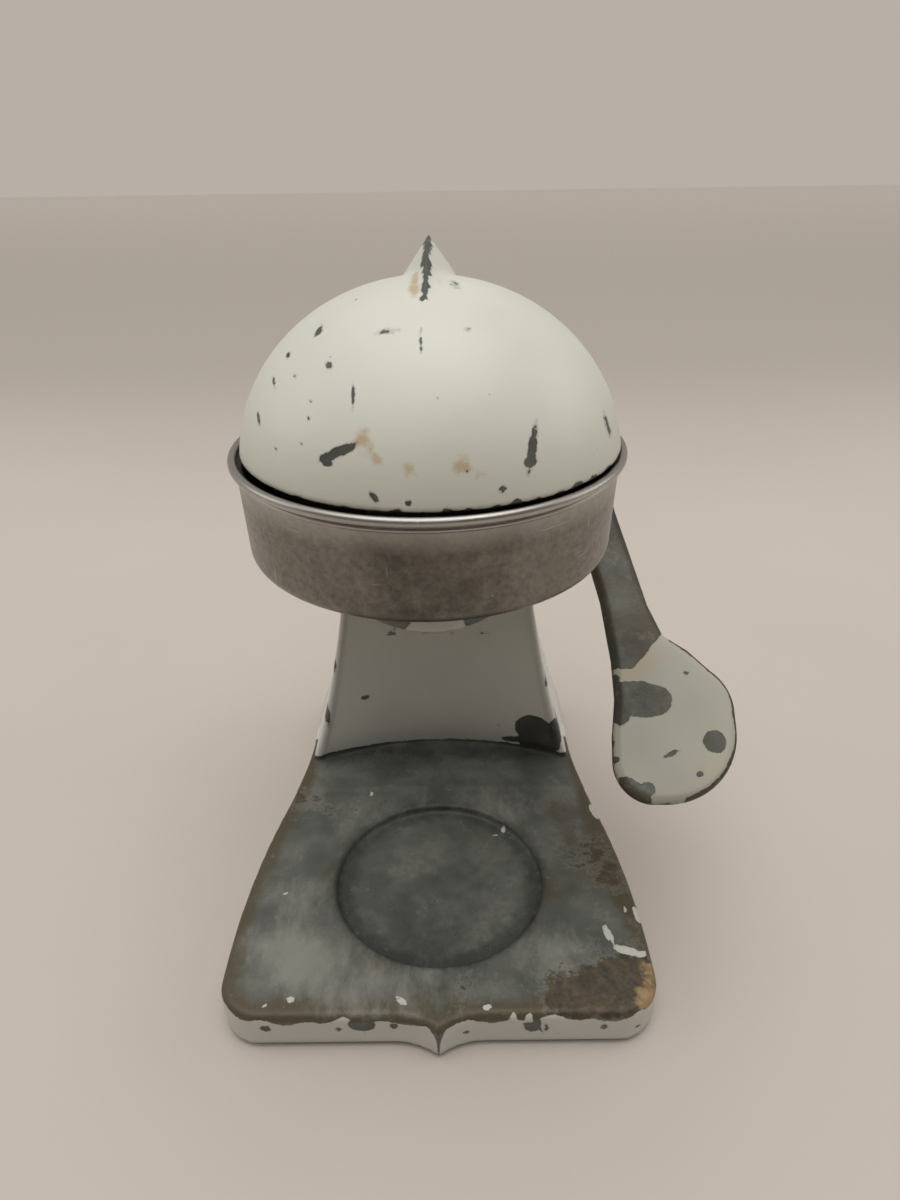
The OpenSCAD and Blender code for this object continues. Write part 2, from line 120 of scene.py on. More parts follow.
class NodeTree:
    def __init__(self, tree):
        self.tree = tree

    def node(self, kind, settings=None, inputs=None, out=0):
        made = self.tree.nodes.new(kind)
        for key, value in (settings or {}).items():
            if key == "stops":
                ramp = made.color_ramp
                while len(ramp.elements) < len(value):
                    ramp.elements.new(0.5)
                for element, (position, colour) in zip(ramp.elements, value):
                    element.position = position
                    element.color = colour
            else:
                setattr(made, key, value)
        for key, value in (inputs or {}).items():
            for one in value if isinstance(value, list) else [value]:
                if isinstance(one, Wire):
                    self.tree.links.new(one.socket, made.inputs[key])
                else:
                    made.inputs[key].default_value = one
        if made.outputs:
            return Wire(self, made.outputs[out])


class Finish(NodeTree):
    def __init__(self, name):
        self.material = bpy.data.materials.new(name)
        self.material.use_nodes = True
        super().__init__(self.material.node_tree)
        self.tree.nodes.clear()
        self.place = self.node("ShaderNodeTexCoord", out="Object")

    def attribute(self, name):
        return self.node("ShaderNodeAttribute", {"attribute_name": name}, out="Fac")

    def noise(self, size, detail=3.0, rough=0.5, stretch=None, shift=(0, 0, 0)):
        # size is the width of a blotch in mm, and the value runs about -1 to 1
        vector = self.place
        if stretch or any(shift):
            vector = self.node("ShaderNodeMapping", None,
                {"Vector": vector, "Location": shift, "Scale": stretch or (1, 1, 1)})
        made = self.node("ShaderNodeTexNoise", None, {"Vector": vector,
            "Scale": 1 / (size * mm), "Detail": detail, "Roughness": rough})
        return (made - 0.5) * 2.0

    def step(self, value, low, high):
        # eases from 0 at low to 1 at high
        return self.node("ShaderNodeMapRange", {"interpolation_type": "SMOOTHSTEP"},
            {"Value": value, "From Min": low, "From Max": high})

    def mix(self, factor, a, b):
        made = self.node("ShaderNodeMix", {"data_type": "RGBA"}, {"Factor": factor}, out=2)
        for socket, value in zip((6, 7), (a, b)):
            target = made.socket.node.inputs[socket]
            if isinstance(value, Wire):
                self.tree.links.new(value.socket, target)
            else:
                target.default_value = value
        return made

    def larger(self, a, b):
        return a.maths("MAXIMUM", a, b)

    def axis(self, index):
        return self.node("ShaderNodeSeparateXYZ", None, {0: self.place}, out=index)

    def surface(self, colour, roughness, metallic, height, depth):
        # height runs 0 to 1, and depth is its size in mm
        normal = self.node("ShaderNodeBump", None,
            {"Height": height, "Strength": 1.0, "Distance": depth * mm})
        shader = self.node("ShaderNodeBsdfPrincipled", None,
            {"Base Color": colour, "Roughness": roughness, "Metallic": metallic, "Normal": normal})
        self.node("ShaderNodeOutputMaterial", None, {"Surface": shader})
        return self.material


# A solid is a field: the distance in mm to its surface, below 0 inside.

def roundMax(a, b, r):
    # what both solids hold, with the shared edge rounded to r
    return np.minimum(np.maximum(a, b), -r) + np.hypot(np.maximum(a + r, 0), np.maximum(b + r, 0))


def roundMin(a, b, r):
    # both solids joined with a fillet r
    return -roundMax(-a, -b, r)


def cut(a, b, r):
    # the first solid without the second
    return roundMax(a, -b, r)


def blockField(x, y, z, low, high, r):
    # block with rounded edges between two corners
    parts = [np.abs(v - (low[i] + high[i]) / 2) - (high[i] - low[i]) / 2 for i, v in enumerate((x, y, z))]
    return roundMax(roundMax(parts[0], parts[1], r), parts[2], r)


def rodField(u, v, w, cu, cv, radius, w0, w1, r):
    # rod along w about (cu, cv)
    return roundMax(np.hypot(u - cu, v - cv) - radius, np.abs(w - (w0 + w1) / 2) - (w1 - w0) / 2, r)


def curveThrough(points, t):
    # smooth curve through a few stations (t, value)
    ts = np.array([p[0] for p in points], float)
    vs = np.array([p[1] for p in points], float)
    slope = np.gradient(vs, ts)
    t = np.clip(t, ts[0], ts[-1])
    i = np.clip(np.searchsorted(ts, t) - 1, 0, len(ts) - 2)
    width = ts[i + 1] - ts[i]
    q = (t - ts[i]) / width
    return ((1 + 2 * q) * (1 - q) ** 2 * vs[i] + q * (1 - q) ** 2 * width * slope[i]
        + q * q * (3 - 2 * q) * vs[i + 1] + q * q * (q - 1) * width * slope[i + 1])


def gradientOf(field, p, h):
    x, y, z = p.T
    return np.stack([field(x + h, y, z) - field(x - h, y, z), field(x, y + h, z) - field(x, y - h, z),
        field(x, y, z + h) - field(x, y, z - h)], 1) / (2 * h)


def skinOf(field, low, high, step):
    # one vertex in each cell that the surface passes through, then moved onto the surface;
    # x = 0 lies in the middle of a cell, so that a ridge there stays sharp
    start = [(math.floor(low[k] / step) - 1.5) * step for k in range(3)]
    ends = [start[k] + step * np.arange(math.ceil((high[k] - start[k]) / step) + 2) for k in range(3)]
    values = np.empty([len(e) for e in ends], np.float32)
    slab = 12
    for i in range(0, len(ends[0]), slab):
        values[i:i + slab] = field(ends[0][i:i + slab, None, None], ends[1][None, :, None],
            ends[2][None, None, :])
    inside = values < 0
    corners = [(i, j, k) for i in (0, 1) for j in (0, 1) for k in (0, 1)]
    n = [len(e) - 1 for e in ends]
    count = sum(inside[i:i + n[0], j:j + n[1], k:k + n[2]].astype(np.uint8) for i, j, k in corners)
    cells = np.argwhere((count > 0) & (count < 8))
    number = np.full(n, -1, np.int32)
    number[tuple(cells.T)] = np.arange(len(cells))
    total = np.zeros((len(cells), 3))
    hits = np.zeros((len(cells), 1))
    for a in corners:
        for k in range(3):
            if a[k]:
                continue
            b = tuple(a[m] + (m == k) for m in range(3))
            va = values[tuple((cells + a).T)]
            vb = values[tuple((cells + b).T)]
            crossing = (va < 0) != (vb < 0)
            t = np.where(crossing, va / np.where(crossing, va - vb, 1), 0)
            point = np.array(a) + t[:, None] * (np.array(b) - np.array(a))
            total += point * crossing[:, None]
            hits += crossing[:, None]
    points = (cells + total / hits) * step + start
    for _ in range(4):
        g = gradientOf(field, points, step * 0.1)
        move = field(*points.T)[:, None] * g / np.maximum((g * g).sum(1, keepdims=True), 0.1)
        points -= np.clip(move, -step / 2, step / 2)
    faces = []
    for k in range(3):
        b, c = (k + 1) % 3, (k + 2) % 3
        lower = [slice(1, -1)] * 3
        upper = [slice(1, -1)] * 3
        lower[k], upper[k] = slice(0, -1), slice(1, None)
        edges = np.argwhere(inside[tuple(lower)] != inside[tuple(upper)])
        edges[:, b] += 1
        edges[:, c] += 1
        ring = []
        for db, dc in ((-1, -1), (0, -1), (0, 0), (-1, 0)):
            cell = edges.copy()
            cell[:, b] += db
            cell[:, c] += dc
            ring.append(number[tuple(cell.T)])
        ring = np.stack(ring, 1)
        outward = inside[tuple(edges.T)]
        faces.append(np.where(outward[:, None], ring, ring[:, ::-1]))
    return points, np.concatenate(faces)


def shadeSmooth(mesh, sharp):
    # smooth but for edges that turn more than the angle
    mesh.polygons.foreach_set("use_smooth", [True] * len(mesh.polygons))
    mesh.set_sharp_from_angle(angle=sharp)


def meshFrom(name, points, faces):
    # points in mm from the bowl's line
    mesh = bpy.data.meshes.new(name)
    mesh.from_pydata([tuple(p) for p in np.asarray(points) * mm + np.array(bowlLine)], [],
        [tuple(int(i) for i in f) for f in faces])
    mesh.validate()
    mesh.polygons.foreach_set("use_smooth", [True] * len(mesh.polygons))
    mesh.update()
    return mesh


def addFields(mesh, fields):
    # values on the vertices that the finishes read by name
    for name, values in fields.items():
        layer = mesh.attributes.new(name, "FLOAT", "POINT")
        spread = np.broadcast_to(values, len(mesh.vertices))
        layer.data.foreach_set("value", np.asarray(spread, np.float32))


def pointsOf(mesh):
    # where the vertices lie, in mm from the bowl's line
    co = np.empty(len(mesh.vertices) * 3)
    mesh.vertices.foreach_get("co", co)
    return (co.reshape(-1, 3) - np.array(bowlLine)) / mm


def addPiece(name, mesh, material, body, replaced):
    piece = bpy.data.objects.new(name, mesh)
    bpy.context.scene.collection.objects.link(piece)
    if not mesh.materials:
        mesh.materials.append(material)
    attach(piece, body)
    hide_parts(*replaced)
    print("made", name, len(mesh.polygons), "faces")


def edgeOf(field, points, depth):
    # 0 on flats and hollows, up to 1 on an outward edge
    g = gradientOf(field, points, 0.1)
    g /= np.linalg.norm(g, axis=1, keepdims=True)
    inner = field(*(points - g * depth).T)
    return np.clip((inner + depth) / depth, 0, 1)


def patches(u, v, places):
    # how far inside the nearest patch a point is, in mm: (u, v, half length, half width, turn)
    best = np.full(np.shape(u), -50.0)
    for cu, cv, long, wide, turn in places:
        c, s = math.cos(math.radians(turn)), math.sin(math.radians(turn))
        a, b = (u - cu) * c + (v - cv) * s, (v - cv) * c - (u - cu) * s
        best = np.maximum(best, (1 - np.hypot(a / long, b / wide)) * min(long, wide))
    return best


def glow(u, v, places):
    # soft spots: (u, v, radius, strength)
    return sum(k * np.exp(-((u - cu) ** 2 + (v - cv) ** 2) / (r * r)) for cu, cv, r, k in places)


enamelWhite = srgb(226, 228, 216)
enamelDull = srgb(234, 235, 229)


def zincColour(f):
    # dull zinc in dark and light blotches, changed by the fields that each piece carries
    patch = f.step(f.noise(16, 4.0, 0.6), -0.35, 0.4)
    colour = f.mix(patch, srgb(84, 86, 82), srgb(118, 120, 113))
    fine = f.step(f.noise(2.0, 6.0, 0.72), -0.35, 0.45)
    colour = f.mix(fine * 0.45, colour, srgb(66, 66, 58))
    # grease-brown along the handled edges
    olive = f.step(f.attribute("olive") + f.noise(9, 6.0, 0.68) * 0.6, 0.15, 0.75)
    colour = f.mix(olive * 0.9, colour, srgb(84, 75, 54))
    shade = f.step(f.attribute("shade") + f.noise(3.5, 5.0, 0.7) * 0.45, 0.1, 1.0)
    colour = f.mix(shade * 0.85, colour, srgb(44, 46, 44))
    # pale oxide, smeared along Y
    smear = f.noise(5, 6.0, 0.7, stretch=(1.0, 0.4, 1.0))
    bloom = f.step(f.attribute("bloom") + smear * 0.75, 0.25, 1.0)
    colour = f.mix(bloom * 0.62, colour, srgb(152, 152, 143))
    brown = f.attribute("rust") + f.noise(6, 7.0, 0.74) * 1.1
    halo = f.step(brown, 0.18, 0.36) * (1.0 - f.step(brown, 0.36, 0.5))
    colour = f.mix(halo * 0.2, colour, srgb(158, 160, 152))
    rust = f.step(brown, 0.36, 0.52)
    tone = f.step(f.noise(2.6, 6.0, 0.74), -0.35, 0.45)
    colour = f.mix(rust * 0.85, colour, f.mix(tone, srgb(42, 36, 24), srgb(96, 80, 54)))
    # small dark pits
    pitted = f.step(f.noise(1.4, 2.0, 0.5, shift=(6, 2, 9)), 0.42, 0.6)
    colour = f.mix(pitted * 0.55, colour, srgb(44, 42, 36))
    tan = f.step(f.attribute("tan") + f.noise(2.5, 4.0, 0.6) * 0.6, 0.35, 0.8)
    return f.mix(tan * 0.8, colour, srgb(168, 138, 98)), rust


def chippedEnamel(name, paint, ragged):
    # enamel over zinc: the wear attribute is how far inside a bare place a point lies, in mm
    f = Finish(name)
    wear = f.attribute("wear")
    edge = wear + f.noise(4.5, 4.0, 0.62) * ragged + f.noise(1.2, 2.0, 0.6) * 0.55
    bare = f.step(edge, -0.06, 0.1)
    zinc, rust = zincColour(f)
    stain = f.step(f.attribute("stain") + f.noise(2.6, 5.0, 0.68) * 0.7, 0.4, 0.95)
    dust = f.step(f.noise(20, 3.0, 0.5), -0.6, 0.8)
    enamel = f.mix(dust * 0.1, paint, srgb(150, 148, 136))
    # the grime field darkens the enamel; on the casting's front faces under the bowl this darkening is painted
    # shade
    enamel = f.mix(f.attribute("grime") * 0.6, enamel, srgb(118, 114, 98))
    enamel = f.mix(stain * 0.7, enamel, srgb(190, 160, 112))
    specks = f.step(f.noise(1.7, 1.0, 0.4, shift=(3, 1, 2)), 0.62, 0.68)
    bare = f.larger(bare, specks * f.attribute("pits"))
    # a thin grey line where the paint breaks off
    rim = f.step(edge, -0.55, -0.05) * (1.0 - bare)
    enamel = f.mix(rim * 0.4, enamel, srgb(150, 150, 140))
    colour = f.mix(bare, enamel, zinc)
    grain = f.noise(0.7, 3.0, 0.6)
    rough = (1.0 - bare) * 0.42 + bare * (0.52 + f.noise(3, 3.0) * 0.08)
    height = (1.0 - bare) * 0.6 + bare * grain * 0.25 + f.noise(9, 2.0) * 0.12
    return f.surface(colour, rough, bare * (1.0 - rust) * 0.2, height, 0.22)


def scratchedAluminium(name, dull, tarnish, rough, brush):
    # brushed round the bowl, with dark tarnished blotches, fine stray scratches, and where the piece carries
    # these fields a painted dark reflection across its front and a painted highlight on its polished rim
    f = Finish(name)
    lines = f.noise(1.2, 3.0, 0.6, stretch=(0.06, 0.06, 1.6))
    # tarnished blotches, made darker across the bowl's front by a painted dark reflection
    blotch = f.step(f.noise(15, 7.0, 0.74) + f.attribute("tarnish") * 0.7, -0.25, 0.55)
    small = f.step(f.noise(1.6, 6.0, 0.74, shift=(4, 2, 0)), -0.3, 0.5)
    warm = f.step(f.noise(18, 4.0, 0.6, shift=(9, 1, 3)), -0.2, 0.5)
    colour = f.mix(blotch * 0.8, dull, tarnish)
    colour = f.mix(warm * 0.3, colour, srgb(118, 104, 84))
    colour = f.mix(small * 0.45, colour, srgb(70, 66, 62))
    wave = f.noise(1.0, 2.0, 0.5, stretch=(0.3, 0.3, 0.05), shift=(1, 5, 2))
    stray = f.noise(0.8, 2.0, 0.5, stretch=(0.05, 0.05, 0.7), shift=(7, 3, 1))
    slant = f.noise(0.9, 2.0, 0.5, stretch=(0.04, 0.4, 0.25), shift=(2, 8, 6))
    scratch = f.larger(f.step(stray, 0.42, 0.5), f.step(slant, 0.45, 0.52))
    scratch = f.larger(f.step(wave, 0.4, 0.48), scratch)
    colour = f.mix(scratch * 0.35, colour, srgb(205, 200, 192))
    # the polished rim, brightened further as a painted highlight
    colour = f.mix(f.attribute("bright") * 0.6, colour, srgb(206, 203, 198))
    roughness = rough + blotch * 0.08 + small * 0.06 + lines * 0.05
    height = lines * brush + scratch * 0.35
    return f.surface(colour, roughness, 1.0, height, 0.03)


def machinedMetal(name, base, rough, spot):
    # turned or sawn metal with faint tool lines and grime
    f = Finish(name)
    lines = f.noise(0.6, 2.0, 0.5, stretch=(2.0, 0.2, 0.2))
    grime = f.step(f.noise(5, 4.0, 0.6), -0.1, 0.7)
    colour = f.mix(grime * 0.6, base, spot)
    return f.surface(colour, rough + grime * 0.2, 1.0 - grime * 0.5, lines, 0.03)


def mouldedRubber(name):
    f = Finish(name)
    dust = f.step(f.noise(3, 4.0, 0.6), 0.0, 0.8)
    return f.surface(f.mix(dust * 0.5, srgb(38, 38, 38), srgb(74, 72, 68)), 0.75 + dust * 0.1,
        0.0, f.noise(0.5, 2.0), 0.05)


def pressedFibre(name):
    f = Finish(name)
    flecks = f.step(f.noise(0.8, 3.0, 0.6), -0.3, 0.5)
    return f.surface(f.mix(flecks, srgb(92, 56, 34), srgb(128, 82, 50)), 0.8, 0.0, flecks, 0.05)


def paperFloor(name):
    f = Finish(name)
    cloud = f.step(f.noise(180, 3.0, 0.5), -0.6, 0.6)
    colour = f.mix(cloud * 0.5, srgb(198, 189, 180), srgb(190, 181, 172))
    # painted shade: the floor darkens from 0.22 to 0.8 m back, then lightens part way again far off
    colour = f.mix(f.step(f.axis(1), 0.22, 0.8), colour, srgb(172, 164, 156))
    colour = f.mix(f.step(f.axis(1), 1.1, 3.6), colour, srgb(182, 173, 164))
    return f.surface(colour, 0.85, 0.0, f.noise(60, 2.0), 0.6)


enamelCasting = chippedEnamel("enamelCasting", enamelDull, 1.3)
enamelDome = chippedEnamel("enamelDome", enamelWhite, 1.15)
enamelLever = chippedEnamel("enamelLever", srgb(186, 184, 170), 1.1)
enamelCover = chippedEnamel("enamelCover", enamelDull, 1.6)
bowlMetal = scratchedAluminium("bowlMetal", srgb(138, 135, 128), srgb(76, 73, 68), 0.32, 0.5)
cupMetal = scratchedAluminium("cupMetal", srgb(190, 187, 182), srgb(160, 154, 146), 0.3, 0.3)
postSteel = machinedMetal("postSteel", srgb(150, 150, 150), 0.35, srgb(74, 66, 56))
screwSteel = machinedMetal("screwSteel", srgb(160, 158, 154), 0.32, srgb(86, 70, 52))
pinionIron = machinedMetal("pinionIron", srgb(104, 102, 100), 0.45, srgb(52, 42, 34))
keeperZinc = machinedMetal("keeperZinc", srgb(140, 144, 146), 0.5, srgb(88, 90, 90))
bushBronze = machinedMetal("bushBronze", srgb(170, 120, 66), 0.35, srgb(84, 58, 34))
footRubber = mouldedRubber("footRubber")
washerFibre = pressedFibre("washerFibre")
print("finishes made")


studio = {
    "floorHalf": 4.0, "lampColour": (1, 0.985, 0.965), "aim": (0, 0, 0.08),
    "front": srgb(70, 67, 64), "walls": srgb(160, 155, 149), "backdrop": srgb(184, 175, 166),
    # name, kind, place, width in m or angle in degrees, power
    "lamps": [("ceiling", "SUN", (0.0, -0.1, 1.0), 66, 2.1),
        ("leftPanel", "AREA", (-0.9, 0.1, 0.6), 0.6, 1.0), ("rightPanel", "AREA", (0.9, 0.2, 0.6), 0.6, 1.0)],
}


def makeStage():
    mesh = bpy.data.meshes.new("floor")
    half = studio["floorHalf"]
    corners = [(-half, -half, 0), (half, -half, 0), (half, half, 0), (-half, half, 0)]
    mesh.from_pydata(corners, [], [(0, 1, 2, 3)])
    mesh.materials.append(paperFloor("paperFloor"))
    floor = bpy.data.objects.new("floor", mesh)
    bpy.context.scene.collection.objects.link(floor)
    world = bpy.data.worlds.new("room")
    world.use_nodes = True
    world.node_tree.nodes.clear()
    t = NodeTree(world.node_tree)
    # the room is dim on the camera's side; straight behind the floor it has the floor's tone
    ways = t.node("ShaderNodeTexCoord", out="Generated")
    across = t.node("ShaderNodeSeparateXYZ", None, {0: ways}, out=1)
    facing = t.node("ShaderNodeMapRange", {"interpolation_type": "SMOOTHSTEP"},
        {"Value": across, "From Min": -0.9, "From Max": 0.2})
    tone = t.node("ShaderNodeValToRGB", {"stops": [(0, studio["front"]), (1, studio["walls"])]}, {0: facing})
    light = t.node("ShaderNodeBackground", None, {"Color": tone, "Strength": 1.0})
    seen = t.node("ShaderNodeBackground", None, {"Color": studio["backdrop"], "Strength": 1.0})
    path = t.node("ShaderNodeLightPath", out="Is Camera Ray")
    either = t.node("ShaderNodeMixShader", None, {0: path, 1: light, 2: seen})
    t.node("ShaderNodeOutputWorld", None, {"Surface": either})
    bpy.context.scene.world = world
    for name, kind, place, size, power in studio["lamps"]:
        lamp = bpy.data.lights.new(name, kind)
        if kind == "SUN":
            lamp.angle = math.radians(size)
        else:
            lamp.size = size
        lamp.energy = power
        lamp.color = studio["lampColour"]
        made = bpy.data.objects.new(name, lamp)
        bpy.context.scene.collection.objects.link(made)
        made.location = place
        made.rotation_mode = "QUATERNION"
        made.rotation_quaternion = (Vector(studio["aim"]) - Vector(place)).to_track_quat("-Z", "Y")


makeStage()


# The frame casting is base plate, column and bowl arm in one piece.

casting = {
    "baseHeight": 12.5, "sideArc": 296.0, "widestY": -32.0, "straightY": 54.0, "corner": 12.0,
    "prowOut": 4.3, "prowHalf": 14.0, "topEdge": 2.2, "skin": 3.5,
    "seatRadius": 34.3, "seatDeep": 2.6,
    "columnHalf": 20.0, "flare": 31.3, "flareHeight": 93.0, "columnFront": 60.0, "wall": 4.0,
    "footZ": 17.0, "lipHigh": 1.9, "coveY": 46.0, "lipY": 67.5, "sag": 8.8, "sagFade": 40.0, "panelDeep": 0.8,
    "armHalf": 13.0, "ringTop": 140.3, "ringBottom": 123.0, "ringRadius": (20.3, 22.0),
    "spoutHole": 12.3, "bossRadius": 11.0, "bossEnds": (19.0, 34.0), "hubEnds": (19.6, 33.0),
    "shaftBore": 7.0, "footPad": 9.0, "coverBoss": 4.0, "coverBossDeep": 12.0, "roofRound": 7.0,
    "armDrop": 18.0,
    # blocks between two corners: the post's guide, a lug for its keeper, and the way in for the post
    "guide": ((-15, 63, 169), (15, 81, 177)), "lug": ((10.5, 63, 121), (20.5, 70, 133)),
    "postWay": ((-8.3, 64, 155), (8.3, 78.3, 185)),
    # heights that part the base, the column and the ring when they are painted
    "baseZone": 20.0, "ringZone": (118.0, 142.0), "step": 1.2,
}
cover = {"inset": 0.8, "corner": 8.0, "bevel": 0.35, "hole": 1.6, "screws": ((38.5, 32), (19, 167))}
baseTop = castLow.z + casting["baseHeight"]
columnBack = coverLow.y


def columnHalfAt(z):
    s = casting
    return s["columnHalf"] + s["flare"] * np.exp((baseTop - z) / s["flareHeight"])


def baseOutline(x, y):
    s = casting
    wide = castHigh.x
    side = np.hypot(np.abs(x) - (wide - s["sideArc"]), y - s["widestY"]) - s["sideArc"]
    straight = wide - s["sideArc"] + math.sqrt(s["sideArc"] ** 2 - (s["straightY"] - s["widestY"]) ** 2)
    side = roundMin(side, np.abs(x) - straight, 5)
    front = -castLow.y - s["prowOut"]
    prow = s["prowOut"] * np.maximum(1 - np.abs(x) / s["prowHalf"], 0) ** 2.2
    ends = roundMax(side, (-y - front - prow) * 0.93, s["corner"])
    return roundMax(ends, y - castHigh.y, s["corner"])


def columnFrontAt(x, z):
    # front face: hollow across and deeper towards the foot, with a shallow panel inside an edge strip
    s = casting
    half = columnHalfAt(z)
    foot = s["footZ"]
    strip = 1.3 + 1.9 * np.exp((foot - z) / 40)
    inner = np.clip((half - strip - np.abs(x)) / 0.9, 0, 1)
    panel = s["panelDeep"] * inner * inner * (3 - 2 * inner)
    across = np.clip(1 - (x / (half - strip)) ** 2, 0, 1)
    fade = np.clip((112 - z) / 14, 0, 1)
    return s["columnFront"] + (panel + s["sag"] * np.exp(-(z - foot) / s["sagFade"]) * across) * fade


def castingField(x, y, z):
    s = casting
    outline = baseOutline(x, y)
    solid = roundMax(roundMax(outline, z - baseTop, s["topEdge"]), castLow.z - z, 0.8)
    hollow = roundMax(outline + s["skin"], z - (baseTop - s["skin"]), 2)
    solid = cut(solid, hollow, 0.7)
    # pads under the seat and over the feet, inside the hollow
    radius = np.hypot(x, y)
    pad = roundMax(radius - s["seatRadius"] - 4, np.abs(z - (baseTop - 4)) - 1.7, 1)
    for foot in ("foot_front_left", "foot_rear_left"):
        low, high = cadBox(foot)
        fx, fy = (low.x + high.x) / 2, (low.y + high.y) / 2
        pad = np.minimum(pad, rodField(np.abs(x), y, z, abs(fx), fy, s["footPad"], high.z, baseTop - 2, 0.5))
    solid = roundMin(solid, roundMax(pad, outline + 1.5, 0.5), 1)
    # column
    half = columnHalfAt(z)
    side = (np.abs(x) - half) / np.sqrt(1 + ((half - s["columnHalf"]) / s["flareHeight"]) ** 2)
    shell = roundMax(side, z - castHigh.z, s["roofRound"])
    column = roundMax(roundMax(shell, columnFrontAt(x, z) - y, 1.3), y - columnBack, 1.2)
    column = roundMax(column, baseTop - 6 - z, 1)
    # the base rises in a low lip at the column's foot
    t = np.clip((y - s["coveY"]) / (s["lipY"] - s["coveY"]), 0, 1.2)
    ramp = roundMax(z - baseTop - s["lipHigh"] * t ** 2, outline + 0.6, 1.5)
    ramp = np.maximum(ramp, np.maximum(s["coveY"] - 2 - y, y - 80))
    column = np.minimum(column, np.maximum(ramp, baseTop - 4 - z))
    solid = roundMin(solid, column, 1.2)
    # shaft bosses and the bowl's arm with its ring
    boss = rodField(y, z, np.abs(x), pinionY, pinionZ, s["bossRadius"], *s["bossEnds"], 1.2)
    solid = roundMin(solid, boss, 3)
    along = np.clip(y / (s["columnFront"] + 4), 0, 1)
    under = s["ringBottom"] + 1 - s["armDrop"] * along ** 2.2
    armSide = np.abs(x) - s["armHalf"] - 4 * along ** 3
    arm = roundMax(roundMax(armSide, under - z, 3), z - (s["ringTop"] - 1), 1.5)
    arm = roundMax(arm, np.maximum(-y, y - s["columnFront"] - 5), 1)
    low, high = s["ringRadius"]
    ringR = low + (high - low) * (z - s["ringBottom"]) / (s["ringTop"] - s["ringBottom"])
    ring = roundMax(roundMax(radius - ringR, s["ringBottom"] - z, 2), z - s["ringTop"], 0.8)
    solid = roundMin(solid, roundMin(arm, ring, 4), 5)
    # the column is hollow, but for blocks that hold the mechanism and the cover
    frontWall = 72 - 8 * np.clip((z - 60) / 12, 0, 1)
    room = roundMax(np.abs(x) - half + s["wall"], z - (castHigh.z - s["wall"]), 2)
    room = roundMax(roundMax(room, frontWall - y, 1), 22 - z, 1)
    room = np.maximum(room, y - columnBack - 5)
    kept = np.minimum(blockField(x, y, z, *s["guide"], 1), blockField(np.abs(x), y, z, *s["lug"], 0.8))
    bossFront = columnBack - s["coverBossDeep"]
    for sx, sz in cover["screws"]:
        post = rodField(np.abs(x), z, y, sx, sz, s["coverBoss"], bossFront, columnBack, 0.6)
        kept = np.minimum(kept, post)
    hub = rodField(y, z, np.abs(x), pinionY, pinionZ, s["bossRadius"], *s["hubEnds"], 0.5)
    solid = cut(solid, np.maximum(room, -np.minimum(kept, hub)), 0.8)
    # glass seat, spout hole, the post's way in and the shaft's bore
    seat = roundMax(radius - s["seatRadius"], baseTop - s["seatDeep"] - z, 1.0)
    solid = cut(solid, np.maximum(seat, z - baseTop - 20), 1.3)
    solid = cut(solid, np.maximum(radius - s["spoutHole"], s["ringBottom"] - 2 - z), 0.5)
    solid = cut(solid, blockField(x, y, z, *s["postWay"], 0.3), 0.4)
    return cut(solid, np.hypot(y - pinionY, z - pinionZ) - s["shaftBore"] + 0 * x, 0.4)


